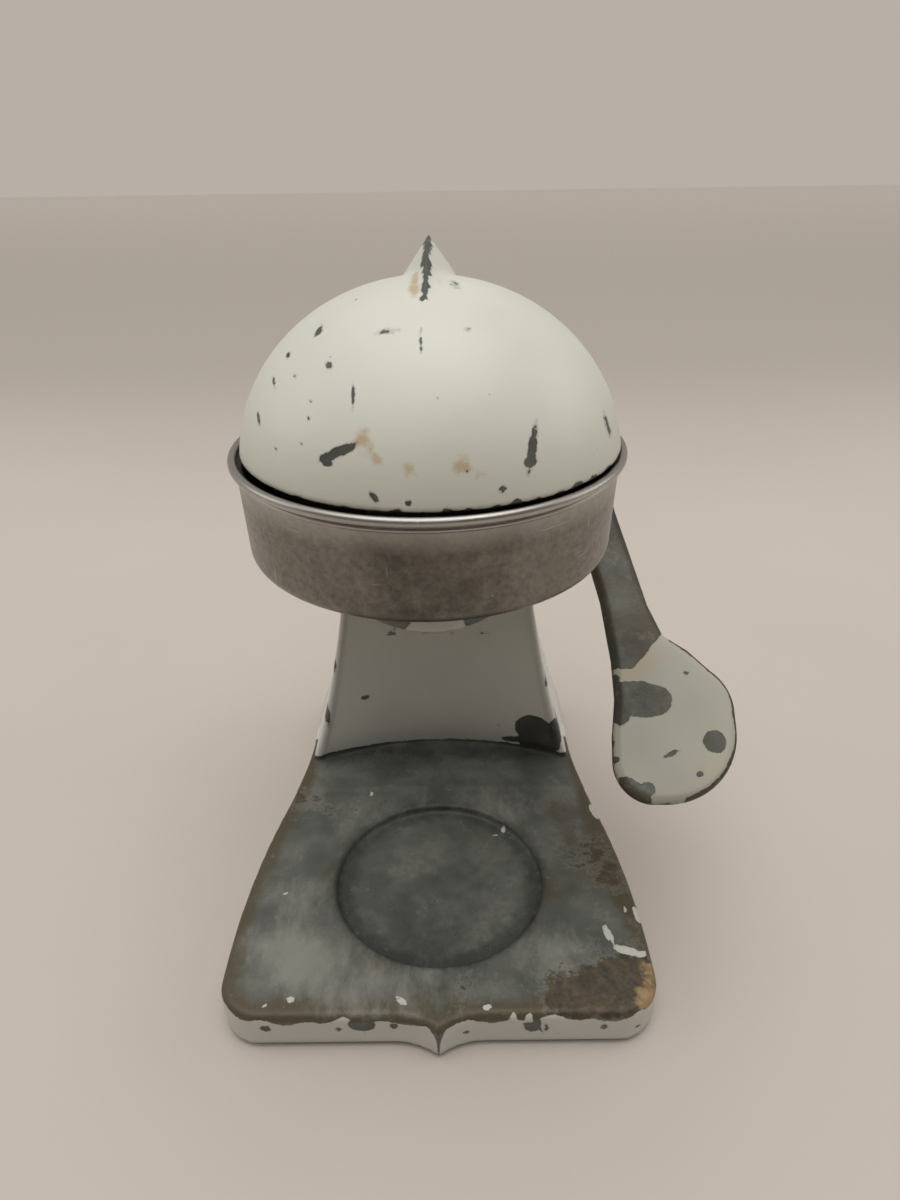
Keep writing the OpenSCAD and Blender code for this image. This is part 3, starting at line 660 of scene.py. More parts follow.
def castingWear(p, edge):
    # how far inside a bare place each point lies, in mm
    x, y, z = p.T
    s = casting
    onBase = z < s["baseZone"]
    # the base's top is bare down to a wavy line in the front band
    bandLine = baseTop - 2.4 + 0.8 * np.sin(x * 0.21 + 1) - 0.6 * np.sin(x * 0.53)
    bare = np.minimum(np.minimum(z - bandLine, baseTop + s["lipHigh"] + 1.5 - z), 71.5 - y)
    inSeat = (np.hypot(x, y) < s["seatRadius"] + 2) & onBase
    bare = np.where(inSeat, 5.0, np.clip(bare * 1.4, -4, 6))
    # chips in the front band and flakes left on the top: along x, then z or y
    band = patches(x, z, [(-22, 10.5, 4, 3, 0), (-13, 9.5, 1.3, 1.3, 0), (-29, 8, 0.9, 0.9, 0),
        (8, 7, 0.8, 0.8, 0), (27, 10, 2.6, 3.6, 0), (31, 7.5, 0.6, 2.4, -20), (48, 8, 1.2, 1.2, 0),
        (58, 6, 0.8, 0.8, 0), (-50, 9, 2, 1.4, 0)]) * 1.5
    bare = np.maximum(bare, band + np.where(y < -40, 0, -20))
    flakes = patches(x, y, [(57.5, -29.5, 4.6, 1.5, -18), (53, -23.5, 1.3, 4.2, 15), (62, -31, 2.2, 1.2, 30),
        (57, 31, 1.6, 4.5, 10), (60, -14, 0.8, 1.6, 0), (-43, -45, 1.5, 1.1, 0), (-11, -45.5, 2.2, 1.0, -40),
        (14, -48, 1.4, 1.0, 0), (-50.5, -47, 1.2, 0.6, 40), (21.5, -51, 1.2, 2, 0), (26, -50.5, 1.2, 1.2, 0),
        (19.5, 22, 1.7, 0.7, -10), (23, 24, 0.9, 1.5, 0), (25, 20, 0.7, 0.7, 0), (-51, -6, 1.3, 0.7, 30),
        (63.5, -16, 1.2, 3.5, 0), (-50, -52, 2.4, 1, 0), (-26, 41, 0.8, 1.6, 0)]) * 2.2
    bare = np.where(z > baseTop - 4, np.minimum(bare, np.where(onBase, 0.2 - flakes, 9)), bare)
    # the prow's ridge is bare, most of all at its top
    ridge = (0.2 + 2.2 * (np.clip(z - 3, 0, 9) / 9) ** 3 - np.abs(x)) * 2.5 + np.where(y < -45, 0, -30)
    bare = np.maximum(bare, ridge)
    # chips on the column's front: x, z, half length, half width, turn
    chips = patches(x, z, [(36.5, 27.5, 6.8, 6.6, 0), (39, 20.5, 8.5, 5, 0), (30, 20, 5, 1.6, 0),
        (45, 27, 3, 7, 0), (-28.7, 43.4, 1.7, 1.1, 25), (23.5, 27, 0.9, 0.9, 0), (-43.5, 37, 1.2, 6, 0),
        (-39, 60, 0.8, 3, 0), (41, 52, 0.8, 2.5, 0)]) * 1.6
    bare = np.maximum(bare, np.minimum(chips, (68 - y) * 0.8) + np.where(z > s["footZ"], 0, -20))
    # worn corners, but not the thin middle of the panel
    ringLow, ringHigh = s["ringZone"]
    cornered = (z > 19) & (y < 113) & ((np.abs(x) > 15) | (z > ringLow))
    bare = np.maximum(bare, np.where(cornered, edge * 3.6 - 3.3, -6))
    # the ring under the bowl keeps its enamel only at the middle of the front
    aside = np.maximum(-5 - x, x - 8) * 0.9 + (z - 127) * 0.35
    behind = (3 - y) * 0.7 + np.sin(z * 0.8)
    underBowl = np.where((z > ringLow) & (z < ringHigh), np.minimum(aside, behind), -6)
    return np.maximum(bare, underBowl)


def makeCasting():
    s = casting
    points, faces = skinOf(castingField, castLow, castHigh, s["step"])
    mesh = meshFrom("frameCasting", points, faces)
    x, y, z = points.T
    top = np.clip((z - baseTop + 4) / 3, 0, 1) * np.clip((70 - y) / 5, 0, 1) * (z < baseTop + 6)
    inward = -baseOutline(x, y)
    radius = np.hypot(x, y)
    facing = np.clip(-gradientOf(castingField, points, 0.1)[:, 1], 0, 1)
    onRim = np.exp(-((radius - 32) / 3.6) ** 2) + np.exp(-((radius - 37) / 3) ** 2) * 0.2
    # soft spots on the base: x, y, radius, strength
    oliveOnPlate = glow(x, y, [(-37, 2, 5, 0.6), (-35, 14, 4, 0.5), (36, -4, 7, 0.5), (-20, -34, 8, 0.35),
        (54, 8, 15, 0.6), (44, 30, 9, 0.45), (-48, 42, 10, 0.4), (0, -38, 9, 0.25), (30, -20, 8, 0.3),
        (-30, 34, 7, 0.3)])
    oliveInSeat = glow(x, y, [(22, 12, 9, 0.75), (12, 24, 8, 0.65), (-8, -4, 12, 0.3), (2, -26, 8, 0.4)])
    onPlate = (np.clip(1.1 - inward / 8, 0, 1) * 0.95 + oliveOnPlate) * (radius > 34.5)
    addFields(mesh, {
        "wear": castingWear(points, edgeOf(castingField, points, 1.4)),
        "rust": top * glow(x, y, [(50, -43, 12, 0.85), (61, -38, 9, 0.5), (56, 2, 11, 0.38), (-54, 40, 6, 0.6),
            (42, -44, 8, 0.4), (9, -41, 4, 0.5), (50, 14, 10, 0.35), (-34, 30, 5, 0.3), (-44, 34, 5, 0.35),
            (34, -46, 7, 0.45)]),
        "bloom": top * glow(x, y, [(-54, -28, 11, 0.75), (-46, -8, 10, 0.7), (-40, -30, 9, 0.55),
            (-28, 26, 20, 0.3), (36, -30, 13, 0.6), (40, 8, 12, 0.3), (-22, -42, 14, 0.5), (24, 34, 16, 0.4),
            (-38, -38, 12, 0.5), (0, 40, 30, 0.25), (0, -42, 22, 0.45)]),
        "olive": top * (onPlate + (radius < 34) * oliveInSeat),
        "shade": top * (onRim + (radius < 34) * (0.64 - y * 0.013) + np.clip((y - 50) / 14, 0, 1) * 0.6),
        # painted shade: front faces darken the higher they stand under the bowl; the band below z 15 and other
        # faces are darkened evenly
        "grime": np.where(z < 15, 0.66, 0.3 * (1 - facing) + facing * 0.95 * np.clip((z - 26) / 60, 0, 1)),
        "tan": glow(x, y, [(62, -46, 6, 0.95), (63.5, -36, 4, 0.6)]) * (z > 7),
        "stain": np.where(z > s["baseZone"], 0.05, 0.12),
        "pits": np.where(z > s["footZ"], 0.4, 1.0),
    })
    addPiece("frameCasting", mesh, enamelCasting, "root", ["frame_casting"])


makeCasting()


# The pressing head is a thin dome with a spine that runs back to the post.

head = {
    "offset": 0.7, "across": 46.64, "high": 42.37, "widestZ": 163.05, "edgeZ": 167.45, "wall": 3.0,
    "ridge": [(-19, 200.5), (-12, 204.6), (-4, 208.2), (6, 210.6), (16, 211.5), (30, 211), (45, 209),
        (58, 206.6), (70, 203.4), (80, 198.5), (88, 189)],
    "shoulder": [(-19, 3), (-6, 7), (6, 8.8), (30, 8.8), (45, 9.5), (60, 11.4), (80, 12), (88, 10.5)],
    "under": [(-19, 192), (4, 186), (30, 177), (45, 178.6), (88, 178.6)],
    "flank": 0.72, "fillet": 1.6, "start": -20.0, "back": 88.0, "domeBack": 50.0, "step": 0.8,
    "bossRadius": 7.0, "bossEnds": (198, 208), "pocket": ((-8.05, 64.25, 176), (8.05, 78.05, 188.2)),
}


def domeField(x, y, z, inset):
    # distance to the egg-shaped shell, near enough close to it
    s = head
    a, b = s["across"] - inset, s["high"] - inset
    k0 = np.sqrt((x * x + y * y) / a ** 2 + ((z - s["widestZ"]) / b) ** 2)
    k1 = np.sqrt((x * x + y * y) / a ** 4 + (z - s["widestZ"]) ** 2 / b ** 4)
    return k0 * (k0 - 1) / np.maximum(k1, 1e-6)


def headField(x, y, z):
    # x is measured from the dome's own middle plane
    s = head
    ridge = curveThrough(s["ridge"], y)
    shoulder = curveThrough(s["shoulder"], y)
    under = curveThrough(s["under"], y)
    lean = math.cos(math.atan(s["flank"]))
    drop = ridge - z
    flank = (np.abs(x) - s["flank"] * drop) * lean
    spine = roundMax(flank, np.abs(x) - shoulder, 3)
    spine = roundMax(spine, under - z, 1.5)
    spine = roundMax(spine, y - s["back"], 3)
    spine = np.maximum(spine, s["start"] - y)
    dome = domeField(x, y, z, 0)
    solid = roundMin(dome, spine, s["fillet"])
    solid = roundMax(solid, np.where(y < s["domeBack"], s["edgeZ"] - z, -9.0), 0.6)
    inner = domeField(x, y, z, s["wall"])
    boss = rodField(x, y, z, -s["offset"], 0, s["bossRadius"], *s["bossEnds"], 0.5)
    inner = np.maximum(inner, -boss)
    solid = cut(solid, inner, 0.5)
    return cut(solid, blockField(x + s["offset"], y, z, *s["pocket"], 0.2), 0.3)


def headWear(p, edge):
    x, y, z = p.T
    s = head
    front = np.where(y < -2, 0, -20)
    # chips on the front, seen square on: x, z, half length, half width, turn
    chips = patches(x, z, [(-17.3, 178.2, 4.0, 0.85, 26), (-20.2, 176.3, 1.4, 1.1, 0),
        (21.3, 177.6, 4.2, 0.9, 80), (20.9, 175.4, 1.4, 1.1, 0), (40, 176, 2.4, 0.45, -70),
        (-10.4, 170.2, 1.3, 0.7, -60), (15.2, 171, 0.8, 0.7, 0), (-3.6, 169.6, 0.6, 0.6, 0),
        (-14.4, 187.9, 0.12, 1.2, 0), (-24, 183.2, 0.4, 0.3, 0), (-25.6, 178.4, 0.3, 0.3, 0),
        (-23.6, 186, 0.35, 0.3, 0), (-27.6, 189.4, 0.4, 0.3, 0), (-32, 176, 0.5, 0.4, 0),
        (-30, 192, 0.6, 0.4, 40), (-37, 180, 0.4, 0.9, 20), (-23, 197, 0.9, 0.4, 40),
        (-33, 187, 0.4, 0.7, 30), (8, 175.5, 0.5, 0.4, 0), (-0.8, 197, 0.3, 1.3, 0),
        (-19.8, 192.4, 0.7, 0.5, 0), (-8.2, 198.3, 1.6, 0.35, 10),
        (8.4, 198.4, 0.8, 0.3, 0), (6, 204.7, 0.8, 0.25, -15)]) * 1.8 + front
    # nicks along the lower edge, more of them to the right of the front
    nicks = np.sin(x * 0.9 + 1) * np.sin(x * 0.37 + y * 0.2) * 1.2 + np.clip(x / 40, -0.3, 0.5)
    rim = (s["edgeZ"] - 0.1 - z) * 1.2 + nicks
    # the spine's crest is bare in a ragged band, different on its two sides
    drop = curveThrough(s["ridge"], y) - z
    hand = np.sign(x)
    width = 0.6 + 0.25 * np.sin(y * 0.37 + 2 + hand)
    width = width + 0.3 * np.sin(y * 0.91 + hand * 2) * np.sin(y * 0.23 + hand)
    width = width + 0.2 * np.sin(y * 2.3 + hand) + np.clip((y + 14) / 30, 0, 0.3)
    crest = np.minimum(3.2 - drop, (width - np.abs(x)) * 1.6) + np.where((y > -16.5) & (y < 84), 0, -9)
    wear = np.maximum(np.maximum(chips, rim), crest - np.where(y > 30, 0.6, 0))
    return np.maximum(wear, np.where(y > 20, edge * 3.4 - 3.3, -6))


def makeHead():
    s = head
    middle = Vector((s["offset"], 0, 0))
    points, faces = skinOf(headField, headLow - middle, headHigh - middle, s["step"])
    x, y, z = points.T
    mesh = meshFrom("pressHead", points + np.array(middle), faces)
    addFields(mesh, {
        "wear": headWear(points, edgeOf(headField, points, 1.2)),
        "stain": np.where(y < 0, 1.0, 0.15) * glow(x, z, [(-12.6, 181, 3, 0.8), (-9.6, 177, 2, 0.7),
            (-3.3, 176, 2.2, 0.75), (7, 176.5, 3, 0.75), (12, 173.6, 2.4, 0.6), (-2.6, 204.3, 1.6, 1.0),
            (-2.4, 206.6, 1.2, 0.7), (3.0, 205.2, 1.4, 0.5)]),
        "pits": np.where((x < -12) & (y < 10), 1.0, 0.35),
        "shade": 0.35,
        # the dome's enamel is darker towards its lower edge
        "grime": np.clip((s["edgeZ"] + 14 - z) / 60, 0, 0.22),
    })
    addPiece("pressHead", mesh, enamelDome, "head", ["press_head"])


makeHead()


# The lever is a flat arm that ends in a broad spoon. Its outline is x across and distance from the shaft.

lever = {
    "slope": 40.0, "thick": 6.5, "hub": 11.0, "edge": 2.6, "washerSeat": 7.2, "squareHalf": 3.55, "step": 0.7,
    "arm": [(36.8, 0), (49.7, 0), (59.5, 50.6), (66.8, 82.6), (70.6, 92.6), (77.5, 97.4)],
    "spoon": [(74.5, 116, 15.2, -52, 0), (67.5, 121.5, 22.1, 0, 90), (64.2, 131.7, 12, 100, 180)],
    "back": [(52.6, 124), (54.3, 112), (54.2, 100), (52.3, 80.6), (46.5, 52)],
}
hubLow, hubHigh = cadBox("lever_handle")[0].x, cadBox("handle_washer")[0].x


def leverOutline():
    points = list(lever["arm"])
    for cx, cy, r, a0, a1 in lever["spoon"]:
        for a in np.linspace(math.radians(a0), math.radians(a1), 16):
            points.append((cx + r * math.cos(a), cy + r * math.sin(a)))
    return np.array(points + lever["back"])


leverPoints = leverOutline()


def outlineField(u, v, points):
    # signed distance to a closed outline
    best = np.full(np.broadcast(u, v).shape, 1e9)
    sign = np.ones(best.shape)
    for a, b in zip(points, np.roll(points, -1, 0)):
        eu, ev = b - a
        wu, wv = u - a[0], v - a[1]
        t = np.clip((wu * eu + wv * ev) / (eu * eu + ev * ev), 0, 1)
        best = np.minimum(best, (wu - eu * t) ** 2 + (wv - ev * t) ** 2)
        crosses = ((a[1] <= v) & (v < b[1])) | ((b[1] <= v) & (v < a[1]))
        left = (eu * wv - ev * wu) * (1 if b[1] > a[1] else -1) > 0
        sign = np.where(crosses & left, -sign, sign)
    return np.sqrt(best) * sign


def leverField(x, along, through):
    # x across, along the lever from the shaft, and through its thickness
    s = lever
    blade = outlineField(x, along, leverPoints)
    blade = roundMax(blade, np.abs(through) - s["thick"] / 2, s["edge"])
    hub = rodField(along, through, x, 0, 0, s["hub"], hubLow, hubHigh, 1.2)
    solid = roundMin(blade, hub, 3)
    seat = np.maximum(np.hypot(along, through) - s["washerSeat"], hubHigh - x)
    solid = cut(solid, seat, 0.4)
    socket = np.maximum(np.abs(along), np.abs(through)) - s["squareHalf"] + 0 * x
    return cut(solid, socket, 0.2)


def makeLever():
    s = lever
    low = (hubLow - 1, -s["hub"] - 1, -s["hub"] - 1)
    high = (leverPoints[:, 0].max() + 1, leverPoints[:, 1].max() + 1, s["hub"] + 1)
    points, faces = skinOf(leverField, low, high, s["step"])
    x, along, through = points.T
    edge = np.clip(1 + outlineField(x, along, leverPoints) / 2.8, 0, 1) * (along > 14)
    # bare arm, then a ragged line where the enamel of the spoon starts
    line = 103.5 - np.clip((x - 60) * 1.1, 0, 12)
    bare = np.clip(line - along, -4, 5)
    upper = np.where(through > -1, 0, -20)
    under = patches(x, along, [(70, 122, 7, 4, 30), (60, 134, 3, 6, 0), (66, 108, 2, 2, 0)]) * 1.5
    # chips on the spoon's upper face: x, along, half length, half width, turn
    chips = patches(x, along, [(61, 113, 10, 5.6, 5), (55, 114, 4, 6.5, 0), (82, 126, 3.4, 3.4, 0),
        (57.5, 140, 5.5, 2.6, 40), (61, 139.6, 2.2, 2, 0), (68.8, 129.5, 2.2, 0.6, -20),
        (76.6, 135.4, 1, 0.8, 0),
        (52.7, 130.8, 1.2, 1, 0), (54.5, 106.5, 1.4, 1.4, 0), (75.8, 105, 0.8, 0.6, 0)]) * 1.5 + upper
    # the outer edge has lost its enamel in a band, the inner one only in nicks
    rubbed = edge * 4.0 - np.where(x > 72, 2.2, 3.9)
    wear = np.maximum(np.maximum(bare, chips), np.maximum(rubbed, under - 20 - upper))
    placed = np.empty_like(points)
    a = math.radians(s["slope"])
    placed[:, 0] = x
    placed[:, 1] = pinionY - along * math.cos(a) - through * math.sin(a)
    placed[:, 2] = pinionZ - along * math.sin(a) + through * math.cos(a)
    mesh = meshFrom("leverHandle", placed, faces[:, ::-1] if flipped(faces, placed) else faces)
    addFields(mesh, {
        "wear": wear,
        "rust": glow(x, along, [(52, 44, 6, 0.25), (57, 66, 3, 0.2)]),
        "olive": 0.4 + glow(x, along, [(48, 30, 24, 0.4), (68, 92, 8, 0.4)]) + edge * 0.3,
        "bloom": glow(x, along, [(57, 75, 8, 0.3)]),
        "shade": 0.15 + edge * 0.5 + glow(x, along, [(50, 38, 26, 0.8), (60, 96, 7, 0.4), (62, 115, 9, 0.45)]),
        "grime": 0.3 + glow(x, along, [(60, 126, 9, 0.25), (76, 116, 8, 0.2), (62, 104, 8, 0.35),
            (70, 140, 9, 0.25)]),
        "stain": glow(x, along, [(66, 101, 6, 0.65), (58, 104.5, 5, 0.6), (80, 132, 7, 0.55)]),
        "pits": 0.5,
    })
    addPiece("leverHandle", mesh, enamelLever, "lever", ["lever_handle"])


def flipped(faces, points):
    # true if the faces point inwards, from the sign of the enclosed volume
    a, b, c, d = (points[faces[:, k]] for k in range(4))
    volume = (a * np.cross(b, c)).sum() + (a * np.cross(c, d)).sum()
    return volume < 0


makeLever()


def arcPoints(cr, cz, r, a0, a1, n):
    # n points from one angle to another, in degrees
    return [(cr + r * math.cos(a), cz + r * math.sin(a)) for a in np.radians(np.linspace(a0, a1, n))]


def turned(name, profile, segments, radial=None):
    # a closed outline (radius, height) turned about the bowl's line; radial bends it at each angle
    points, faces, rows = [], [], []
    for r, z in profile:
        if r < 1e-6:
            rows.append([len(points)] * segments)
            points.append((0, 0, z))
            continue
        rows.append(list(range(len(points), len(points) + segments)))
        for k in range(segments):
            angle = 2 * math.pi * k / segments
            grown = r + (radial(r, z, angle) if radial else 0)
            points.append((grown * math.cos(angle), grown * math.sin(angle), z))
    for i, row in enumerate(rows):
        following = rows[(i + 1) % len(rows)]
        if row[0] == row[1] and following[0] == following[1]:
            continue
        for k in range(segments):
            n = (k + 1) % segments
            ring = [row[k], row[n], following[n], following[k]]
            faces.append([v for j, v in enumerate(ring) if v != ring[j - 1]])
    mesh = meshFrom(name, points, faces)
    shadeSmooth(mesh, 0.7)
    return mesh


bowl = {
    "low": 46.1, "high": 47.0, "corner": 4.0, "wall": 1.4, "floorZ": 140.3, "spout": 12.0, "spoutZ": 121.0,
    "bead": 1.1, "beadR": 47.65, "underHead": 0.35, "segments": 192,
}


def makeBowl():
    s = bowl
    beadZ = head["edgeZ"] - s["underHead"] - s["bead"]
    low, high, wall, corner, z0 = s["low"], s["high"], s["wall"], s["corner"], s["floorZ"]
    spout, spoutZ = s["spout"], s["spoutZ"]
    outer = [(spout, spoutZ), (spout, z0 - 0.8)] + arcPoints(spout + 0.8, z0 - 0.8, 0.8, 180, 90, 4)
    outer += [(24, z0), (34, z0)] + arcPoints(low - corner, z0 + corner, corner, -90, 0, 10)
    # the groove under the rolled rim, then the roll
    outer += [(high - 0.3, beadZ - 8), (high, beadZ - 2.9)]
    outer += arcPoints(high + 0.1, beadZ - 2.0, 0.55, -75, 75, 6)
    outer += arcPoints(s["beadR"], beadZ, s["bead"], -115, 190, 20)
    inner = [(high - wall, beadZ - 1.2), (low - wall + 0.2, z0 + corner + 4)]
    inner += arcPoints(low - corner, z0 + corner, corner - wall, 0, -90, 8)
    inner += [(30, z0 + wall), (18, z0 + wall - 0.2)]
    inner += arcPoints(spout + 1.2, z0 + wall - 2.4, 2.2, 90, 172, 6)
    inner += [(spout - wall, z0 - 2), (spout - wall, spoutZ + 0.6), (spout - wall + 0.6, spoutZ)]
    mesh = turned("juiceBowl", outer + inner, s["segments"])
    y, z = pointsOf(mesh).T[1:]
    addFields(mesh, {
        # painted dark reflection: the front of the bowl is darkened, and tarnished blotches held back elsewhere
        "tarnish": np.clip(-y / low, 0, 1) ** 8 * 0.9 - 0.5,
        # painted highlight on the polished rolled rim and just under it
        "bright": np.clip((z - beadZ + 4.5) / 2.5, 0, 1),
    })
    addPiece("juiceBowl", mesh, bowlMetal, "root", ["juice_bowl"])


cup = {
    "across": 39.0, "high": 34.8, "wall": 1.5, "skirtZ": 159.0, "segments": 160,
    "flutes": 16, "fluteDeep": 0.5, "fluteFrom": 165, "fluteTo": 192,
}


def makeCup():
    s = cup
    widest = head["widestZ"]
    angles = np.radians(np.linspace(0, 90, 26))
    across, high = s["across"], s["high"]
    outer = [(across - 0.4, s["skirtZ"]), (across, s["skirtZ"] + 0.5)]
    outer += [(across * math.cos(a), widest + high * math.sin(a)) for a in angles[:-1]]
    outer.append((0, widest + high))
    across, high = across - s["wall"], high - s["wall"]
    inner = [(0, widest + high)]
    inner += [(across * math.cos(a), widest + high * math.sin(a)) for a in angles[-2::-1]]
    inner.append((across, s["skirtZ"] + 0.3))

    def flute(r, z, angle):
        # shallow grips pressed in from outside, so both faces move together
        reach = min(max((z - s["fluteFrom"]) / 8, 0), 1) * min(max((s["fluteTo"] - z) / 6, 0), 1)
        return -s["fluteDeep"] * reach * max(math.cos(s["flutes"] * angle), 0) ** 2

    mesh = turned("pressCup", outer + inner, s["segments"], flute)
    addPiece("pressCup", mesh, cupMetal, "head", ["press_cup"])


makeBowl()
makeCup()


class ShapeTree(NodeTree):
    # a Geometry Nodes tree for what repeats
    def __init__(self, name, sockets):
        tree = bpy.data.node_groups.new(name, "GeometryNodeTree")
        super().__init__(tree)
        tree.interface.new_socket(name="Geometry", in_out="INPUT", socket_type="NodeSocketGeometry")
        for key, kind in sockets.items():
            tree.interface.new_socket(name=key, in_out="INPUT", socket_type="NodeSocket" + kind)
        tree.interface.new_socket(name="Geometry", in_out="OUTPUT", socket_type="NodeSocketGeometry")
        self.entry = tree.nodes.new("NodeGroupInput")
        self.exit = tree.nodes.new("NodeGroupOutput")

    def given(self, name):
        return Wire(self, self.entry.outputs[name])

    def vector(self, x=0.0, y=0.0, z=0.0):
        return self.node("ShaderNodeCombineXYZ", None, {0: x, 1: y, 2: z})

    def block(self, size):
        return self.node("GeometryNodeMeshCube", None, {"Size": size})

    def rod(self, vertices, radius, depth):
        return self.node("GeometryNodeMeshCylinder", None,
            {"Vertices": vertices, "Radius": radius, "Depth": depth})

    def moved(self, geometry, by):
        return self.node("GeometryNodeTransform", None, {"Geometry": geometry, "Translation": by})

    def without(self, geometry, cutters):
        return self.node("GeometryNodeMeshBoolean", {"operation": "DIFFERENCE", "solver": "EXACT"},
            {"Mesh 1": geometry, "Mesh 2": cutters})

    def placed(self, points, shape, turn=(0, 0, 0)):
        return self.node("GeometryNodeInstanceOnPoints", None,
            {"Points": points, "Instance": shape, "Rotation": turn})

    def close(self, geometry):
        real = self.node("GeometryNodeRealizeInstances", None, {"Geometry": geometry})
        done = self.node("GeometryNodeSetMaterial", None,
            {"Geometry": real, "Material": self.given("Material")})
        self.tree.links.new(done.socket, self.exit.inputs[0])


def evaluatedMesh(name, holder, sharp):
    # the holder's finished shape as a plain mesh
    mesh = bpy.data.meshes.new_from_object(holder.evaluated_get(bpy.context.evaluated_depsgraph_get()))
    bpy.data.objects.remove(holder)
    mesh.name = name
    shadeSmooth(mesh, sharp)
    return mesh


def grow(name, shape, source, sizes, others):
    # runs a tree on a mesh, with its sizes in mm
    holder = bpy.data.objects.new(name, source)
    bpy.context.scene.collection.objects.link(holder)
    modifier = holder.modifiers.new("shape", "NODES")
    modifier.node_group = shape.tree
    values = {key: size * mm for key, size in sizes.items()}
    values.update(others)
    for item in shape.tree.interface.items_tree:
        if item.in_out == "INPUT" and item.name in values:
            modifier[item.identifier] = values[item.name]
    return evaluatedMesh(name, holder, 0.6)


def placesMesh(name, places):
    # loose points in mm from the bowl's line
    mesh = bpy.data.meshes.new(name)
    mesh.from_pydata([tuple(Vector(p) * mm + bowlLine) for p in places], [], [])
    return mesh


def screwTree():
    t = ShapeTree("slottedScrews", {"Head Radius": "Float", "Head Height": "Float", "Slot Width": "Float",
        "Slot Depth": "Float", "Shank Radius": "Float", "Shank Length": "Float", "Facing": "Vector",
        "Seed": "Int", "Material": "Material"})
    radius, height, length = t.given("Head Radius"), t.given("Head Height"), t.given("Shank Length")
    ball = t.node("GeometryNodeMeshUVSphere", None, {"Segments": 36, "Rings": 18, "Radius": 1.0})
    ball = t.node("GeometryNodeTransform", None, {"Geometry": ball, "Scale": t.vector(radius, radius, height)})
    lower = t.block(t.vector(radius * 3, radius * 3, height * 2))
    lower = t.moved(lower, t.vector(0, 0, height * -1))
    slotCut = t.block(t.vector(radius * 3, t.given("Slot Width"), t.given("Slot Depth") * 2))
    top = t.without(ball, [lower, t.moved(slotCut, t.vector(0, 0, height))])
    shank = t.moved(t.rod(24, t.given("Shank Radius"), length), t.vector(0, 0, length * -0.5))
    screw = t.node("GeometryNodeJoinGeometry", None, {"Geometry": [top, shank]})
    # each screw's slot stops at an angle of its own
    halfTurn = 3.1416
    spin = t.node("FunctionNodeRandomValue", {"data_type": "FLOAT"},
        {2: 0.0, 3: halfTurn, "Seed": t.given("Seed")}, out=1)
    facing = t.node("FunctionNodeAlignRotationToVector", {"axis": "Z"}, {"Vector": t.given("Facing")})
    twist = t.node("FunctionNodeAxisAngleToRotation", None, {"Axis": (0, 0, 1), "Angle": spin})
    turn = t.node("FunctionNodeRotateRotation", {"rotation_space": "LOCAL"}, {0: facing, 1: twist})
    t.close(t.placed(t.given("Geometry"), screw, turn))
    return t


def slotTree():
    # a ring of slots cut through a turned plate
    t = ShapeTree("ringOfSlots", {"Slots": "Int", "Ring Radius": "Float", "Slot Length": "Float",
        "Slot Width": "Float", "Cut Height": "Float", "Centre": "Vector", "Material": "Material"})
    bar = t.block(t.vector(t.given("Slot Width"), t.given("Slot Length"), t.given("Cut Height")))
    ring = t.node("GeometryNodeMeshCircle", None,
        {"Vertices": t.given("Slots"), "Radius": t.given("Ring Radius")})
    spot = t.node("GeometryNodeInputPosition")
    turn = t.node("FunctionNodeAlignRotationToVector", {"axis": "Y"}, {"Vector": spot})
    bars = t.node("GeometryNodeRealizeInstances", None, {"Geometry": t.placed(ring, bar, turn)})
    t.close(t.without(t.given("Geometry"), [t.moved(bars, t.given("Centre"))]))
    return t


def footTree():
    t = ShapeTree("rubberFeet", {"Low Radius": "Float", "High Radius": "Float", "Height": "Float",
        "Recess Radius": "Float", "Recess Depth": "Float", "Hole Radius": "Float", "Material": "Material"})
    height = t.given("Height")
    cone = t.node("GeometryNodeMeshCone", None, {"Vertices": 64, "Radius Top": t.given("High Radius"),
        "Radius Bottom": t.given("Low Radius"), "Depth": height})
    recess = t.rod(32, t.given("Recess Radius"), t.given("Recess Depth") * 2)
    hole = t.rod(32, t.given("Hole Radius"), height * 4)
    t.close(t.placed(t.given("Geometry"), t.without(cone, [recess, hole])))
    return t


screws = screwTree()
screwSets = [
    # piece, replaced node, body, places, facing, head radius and height, shank radius and length
    ("rearCoverScrews", "rear_cover_screws", "root",
        [(side * x, coverHigh.y, z) for side in (-1, 1) for x, z in cover["screws"]],
        (0, 1, 0), 3.0, 1.7, 1.5, 10.4),
    ("postKeeperScrews", "post_keeper_screws", "root", [(-14.5, 84, 127), (14.5, 84, 127)],
        (0, 1, 0), 3.0, 1.7, 1.5, 20),
    ("footScrews", "foot_screws", "root", [(-50, -37, 2), (50, -37, 2), (-40, 104, 2), (40, 104, 2)],
        (0, 0, -1), 3.0, 1.4, 1.5, 9),
    ("handleScrew", "handle_screw", "lever", [(hubHigh + 1, pinionY, pinionZ)], (1, 0, 0), 3.8, 2.0, 1.85, 9.5),
    ("pressCupScrew", "press_cup_screw", "head", [(0, 0, 196.2)], (0, 0, -1), 4.0, 2.1, 1.5, 6.5),
]
firstSeed = 3
for seed, (name, node, body, places, facing, headR, headH, shankR, shankL) in enumerate(screwSets, firstSeed):
    mesh = grow(name, screws, placesMesh(name + "Places", places),
        {"Head Radius": headR, "Head Height": headH, "Slot Width": 0.8, "Slot Depth": 0.9,
            "Shank Radius": shankR, "Shank Length": shankL},
        {"Facing": facing, "Seed": seed, "Material": screwSteel})
    addPiece(name, mesh, screwSteel, body, [node])

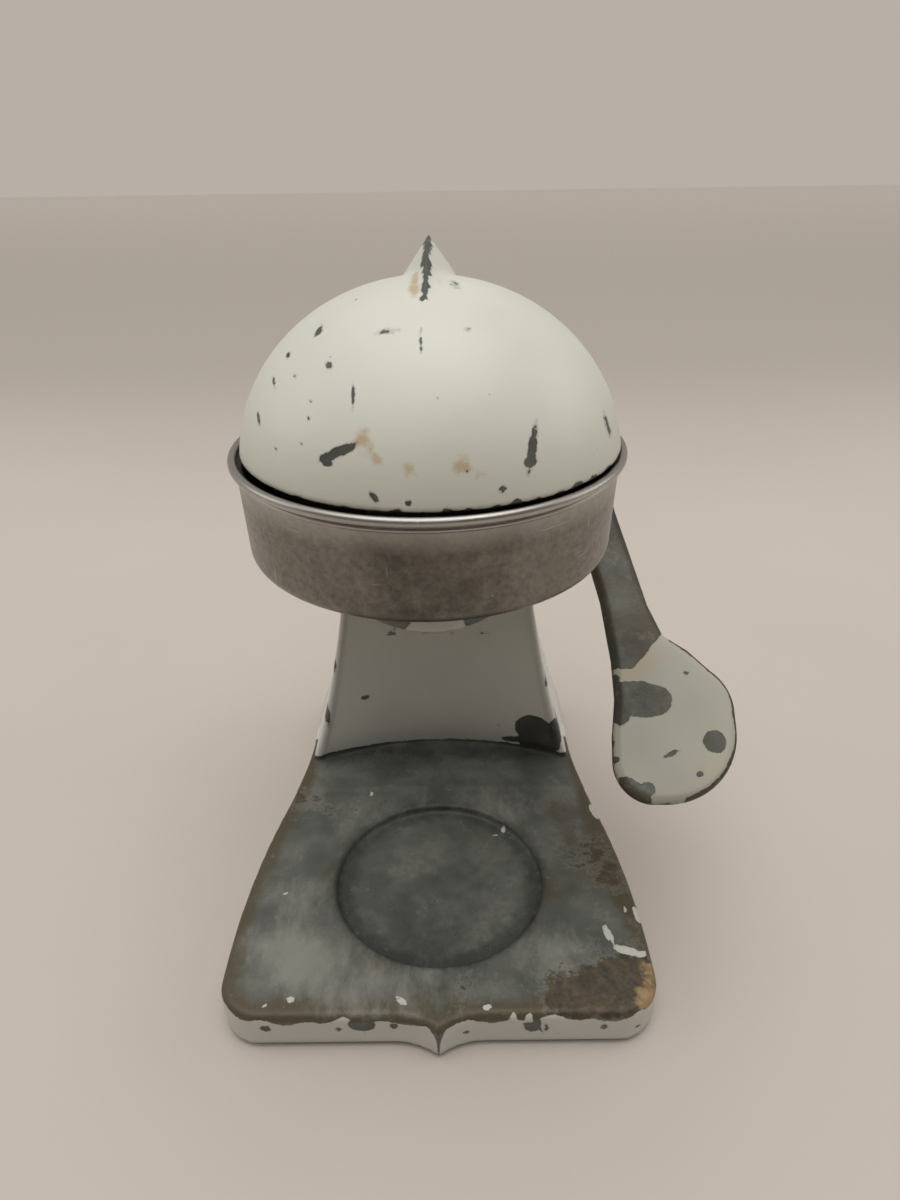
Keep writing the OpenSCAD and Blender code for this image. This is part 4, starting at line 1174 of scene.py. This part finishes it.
footNodes = ["foot_front_left", "foot_front_right", "foot_rear_left", "foot_rear_right"]
footPlaces = []
for node in footNodes:
    low, high = cadBox(node)
    footPlaces.append(((low.x + high.x) / 2, (low.y + high.y) / 2, low.z))
feet = {
    "Low Radius": 7, "High Radius": 8, "Height": cadBox(footNodes[0])[1].z,
    "Recess Radius": 3.6, "Recess Depth": 2, "Hole Radius": 1.9,
}
mesh = grow("rubberFeet", footTree(), placesMesh("feetPlaces", footPlaces), feet, {"Material": footRubber})
addPiece("rubberFeet", mesh, footRubber, "root", footNodes)

strainer = {
    "plateZ": 147.3, "plateThick": 1.5, "skirt": 41.5, "cone": 27.0, "tipZ": 188.0, "ribs": 12, "ribHigh": 1.5,
    "slots": 24, "slotRadius": 33.75, "slotLength": 7.5, "slotWidth": 2.0, "slotCut": 6, "segments": 240,
}


def makeStrainer():
    s = strainer
    plate, skirt, cone, tip = s["plateZ"], s["skirt"], s["cone"], s["tipZ"]
    thick = s["plateThick"]
    standsOn = bowl["floorZ"] + bowl["wall"]
    outer = [(skirt, standsOn), (skirt, plate + 0.9)] + arcPoints(skirt - 0.6, plate + 0.9, 0.6, 0, 90, 4)
    outer += [(cone + 8, plate + thick), (cone + 1.5, plate + thick)]
    outer += arcPoints(cone + 1.5, plate + 3, 1.5, 270, 200, 5)[1:]
    outer += [(cone - 1.6, plate + 6), (cone - 6, plate + 12), (16.5, plate + 19), (11.5, plate + 26),
        (7, plate + 33), (3.6, tip - 3.2), (1.6, tip - 1.2), (0, tip - 0.6)]
    inner = [(0, tip - 4), (2.5, tip - 5), (cone - 8, plate + 11), (cone - 1.8, plate),
        (skirt - thick, plate), (skirt - thick, standsOn)]
    onOutside = set(outer)

    def rib(r, z, angle):
        # sharp-backed ribs on the outside of the cone only
        onCone = plate + 3 < z and (r, z) in onOutside
        reach = min((z - plate - 3) / 6, 1) * min(r / 5, 1) if onCone else 0
        return s["ribHigh"] * reach * abs(math.cos(s["ribs"] * angle / 2)) ** 5

    blank = turned("strainerBlank", outer + inner, s["segments"], rib)
    mesh = grow("strainerCone", slotTree(), blank,
        {"Ring Radius": s["slotRadius"], "Slot Length": s["slotLength"], "Slot Width": s["slotWidth"],
            "Cut Height": s["slotCut"]},
        {"Slots": s["slots"], "Material": cupMetal,
            "Centre": bowlLine + Vector((0, 0, (plate + thick / 2) * mm))})
    addPiece("strainerCone", mesh, cupMetal, "root", ["strainer_cone"])


makeStrainer()


def makeCover():
    # a thin pressed plate that follows the column's back, with a softened edge and four holes
    s = cover
    corner, bevel = s["corner"], s["bevel"]
    curve = bpy.data.curves.new("rearCover", "CURVE")
    curve.dimensions = "2D"
    curve.fill_mode = "BOTH"
    curve.bevel_depth = bevel * mm
    curve.bevel_resolution = 2
    curve.extrude = ((coverHigh.y - coverLow.y) / 2 - bevel) * mm
    curve.offset = -bevel * mm
    shoulder = coverHigh.z - corner
    side = [(columnHalfAt(z) - s["inset"], z) for z in np.linspace(coverLow.z, shoulder, 26)]
    side += arcPoints(side[-1][0] - corner, shoulder, corner, 8, 90, 8)
    loops = [side + [(-x, z) for x, z in reversed(side)]]
    for x, z in s["screws"]:
        for cx in (-x, x):
            loops.append([(cx + s["hole"] * math.cos(a), z + s["hole"] * math.sin(a))
                for a in np.linspace(0, 2 * math.pi, 24, endpoint=False)])
    for loop in loops:
        spline = curve.splines.new("POLY")
        spline.points.add(len(loop) - 1)
        spline.use_cyclic_u = True
        for point, (x, z) in zip(spline.points, loop):
            point.co = (x * mm, z * mm, 0, 1)
    holder = bpy.data.objects.new("rearCoverCurve", curve)
    bpy.context.scene.collection.objects.link(holder)
    mesh = evaluatedMesh("rearCover", holder, 0.5)
    stand = Matrix.Rotation(math.radians(90), 4, "X")
    middle = bowlLine + Vector((0, (coverLow.y + coverHigh.y) / 2 * mm, 0))
    mesh.transform(Matrix.Translation(middle) @ stand)
    addFields(mesh, {"wear": -1.7, "stain": 0.1, "pits": 0.6, "grime": 0.3})
    addPiece("rearCover", mesh, enamelCover, "root", ["rear_cover"])


makeCover()


# the CAD nodes that stay, each with its own finish
kept = {
    "rack_post": postSteel, "pinion_shaft": screwSteel, "pinion_gear": pinionIron, "pinion_pin": screwSteel,
    "shaft_bush_left": bushBronze, "shaft_bush_right": bushBronze, "post_keeper": keeperZinc,
    "head_pins": screwSteel, "post_stop_pin": screwSteel, "thrust_washer": washerFibre,
    "retaining_ring": screwSteel, "handle_washer": screwSteel,
}
for name, material in kept.items():
    slots = nodes[name].data.materials
    slots.clear()
    slots.append(material)
print("inner parts finished")
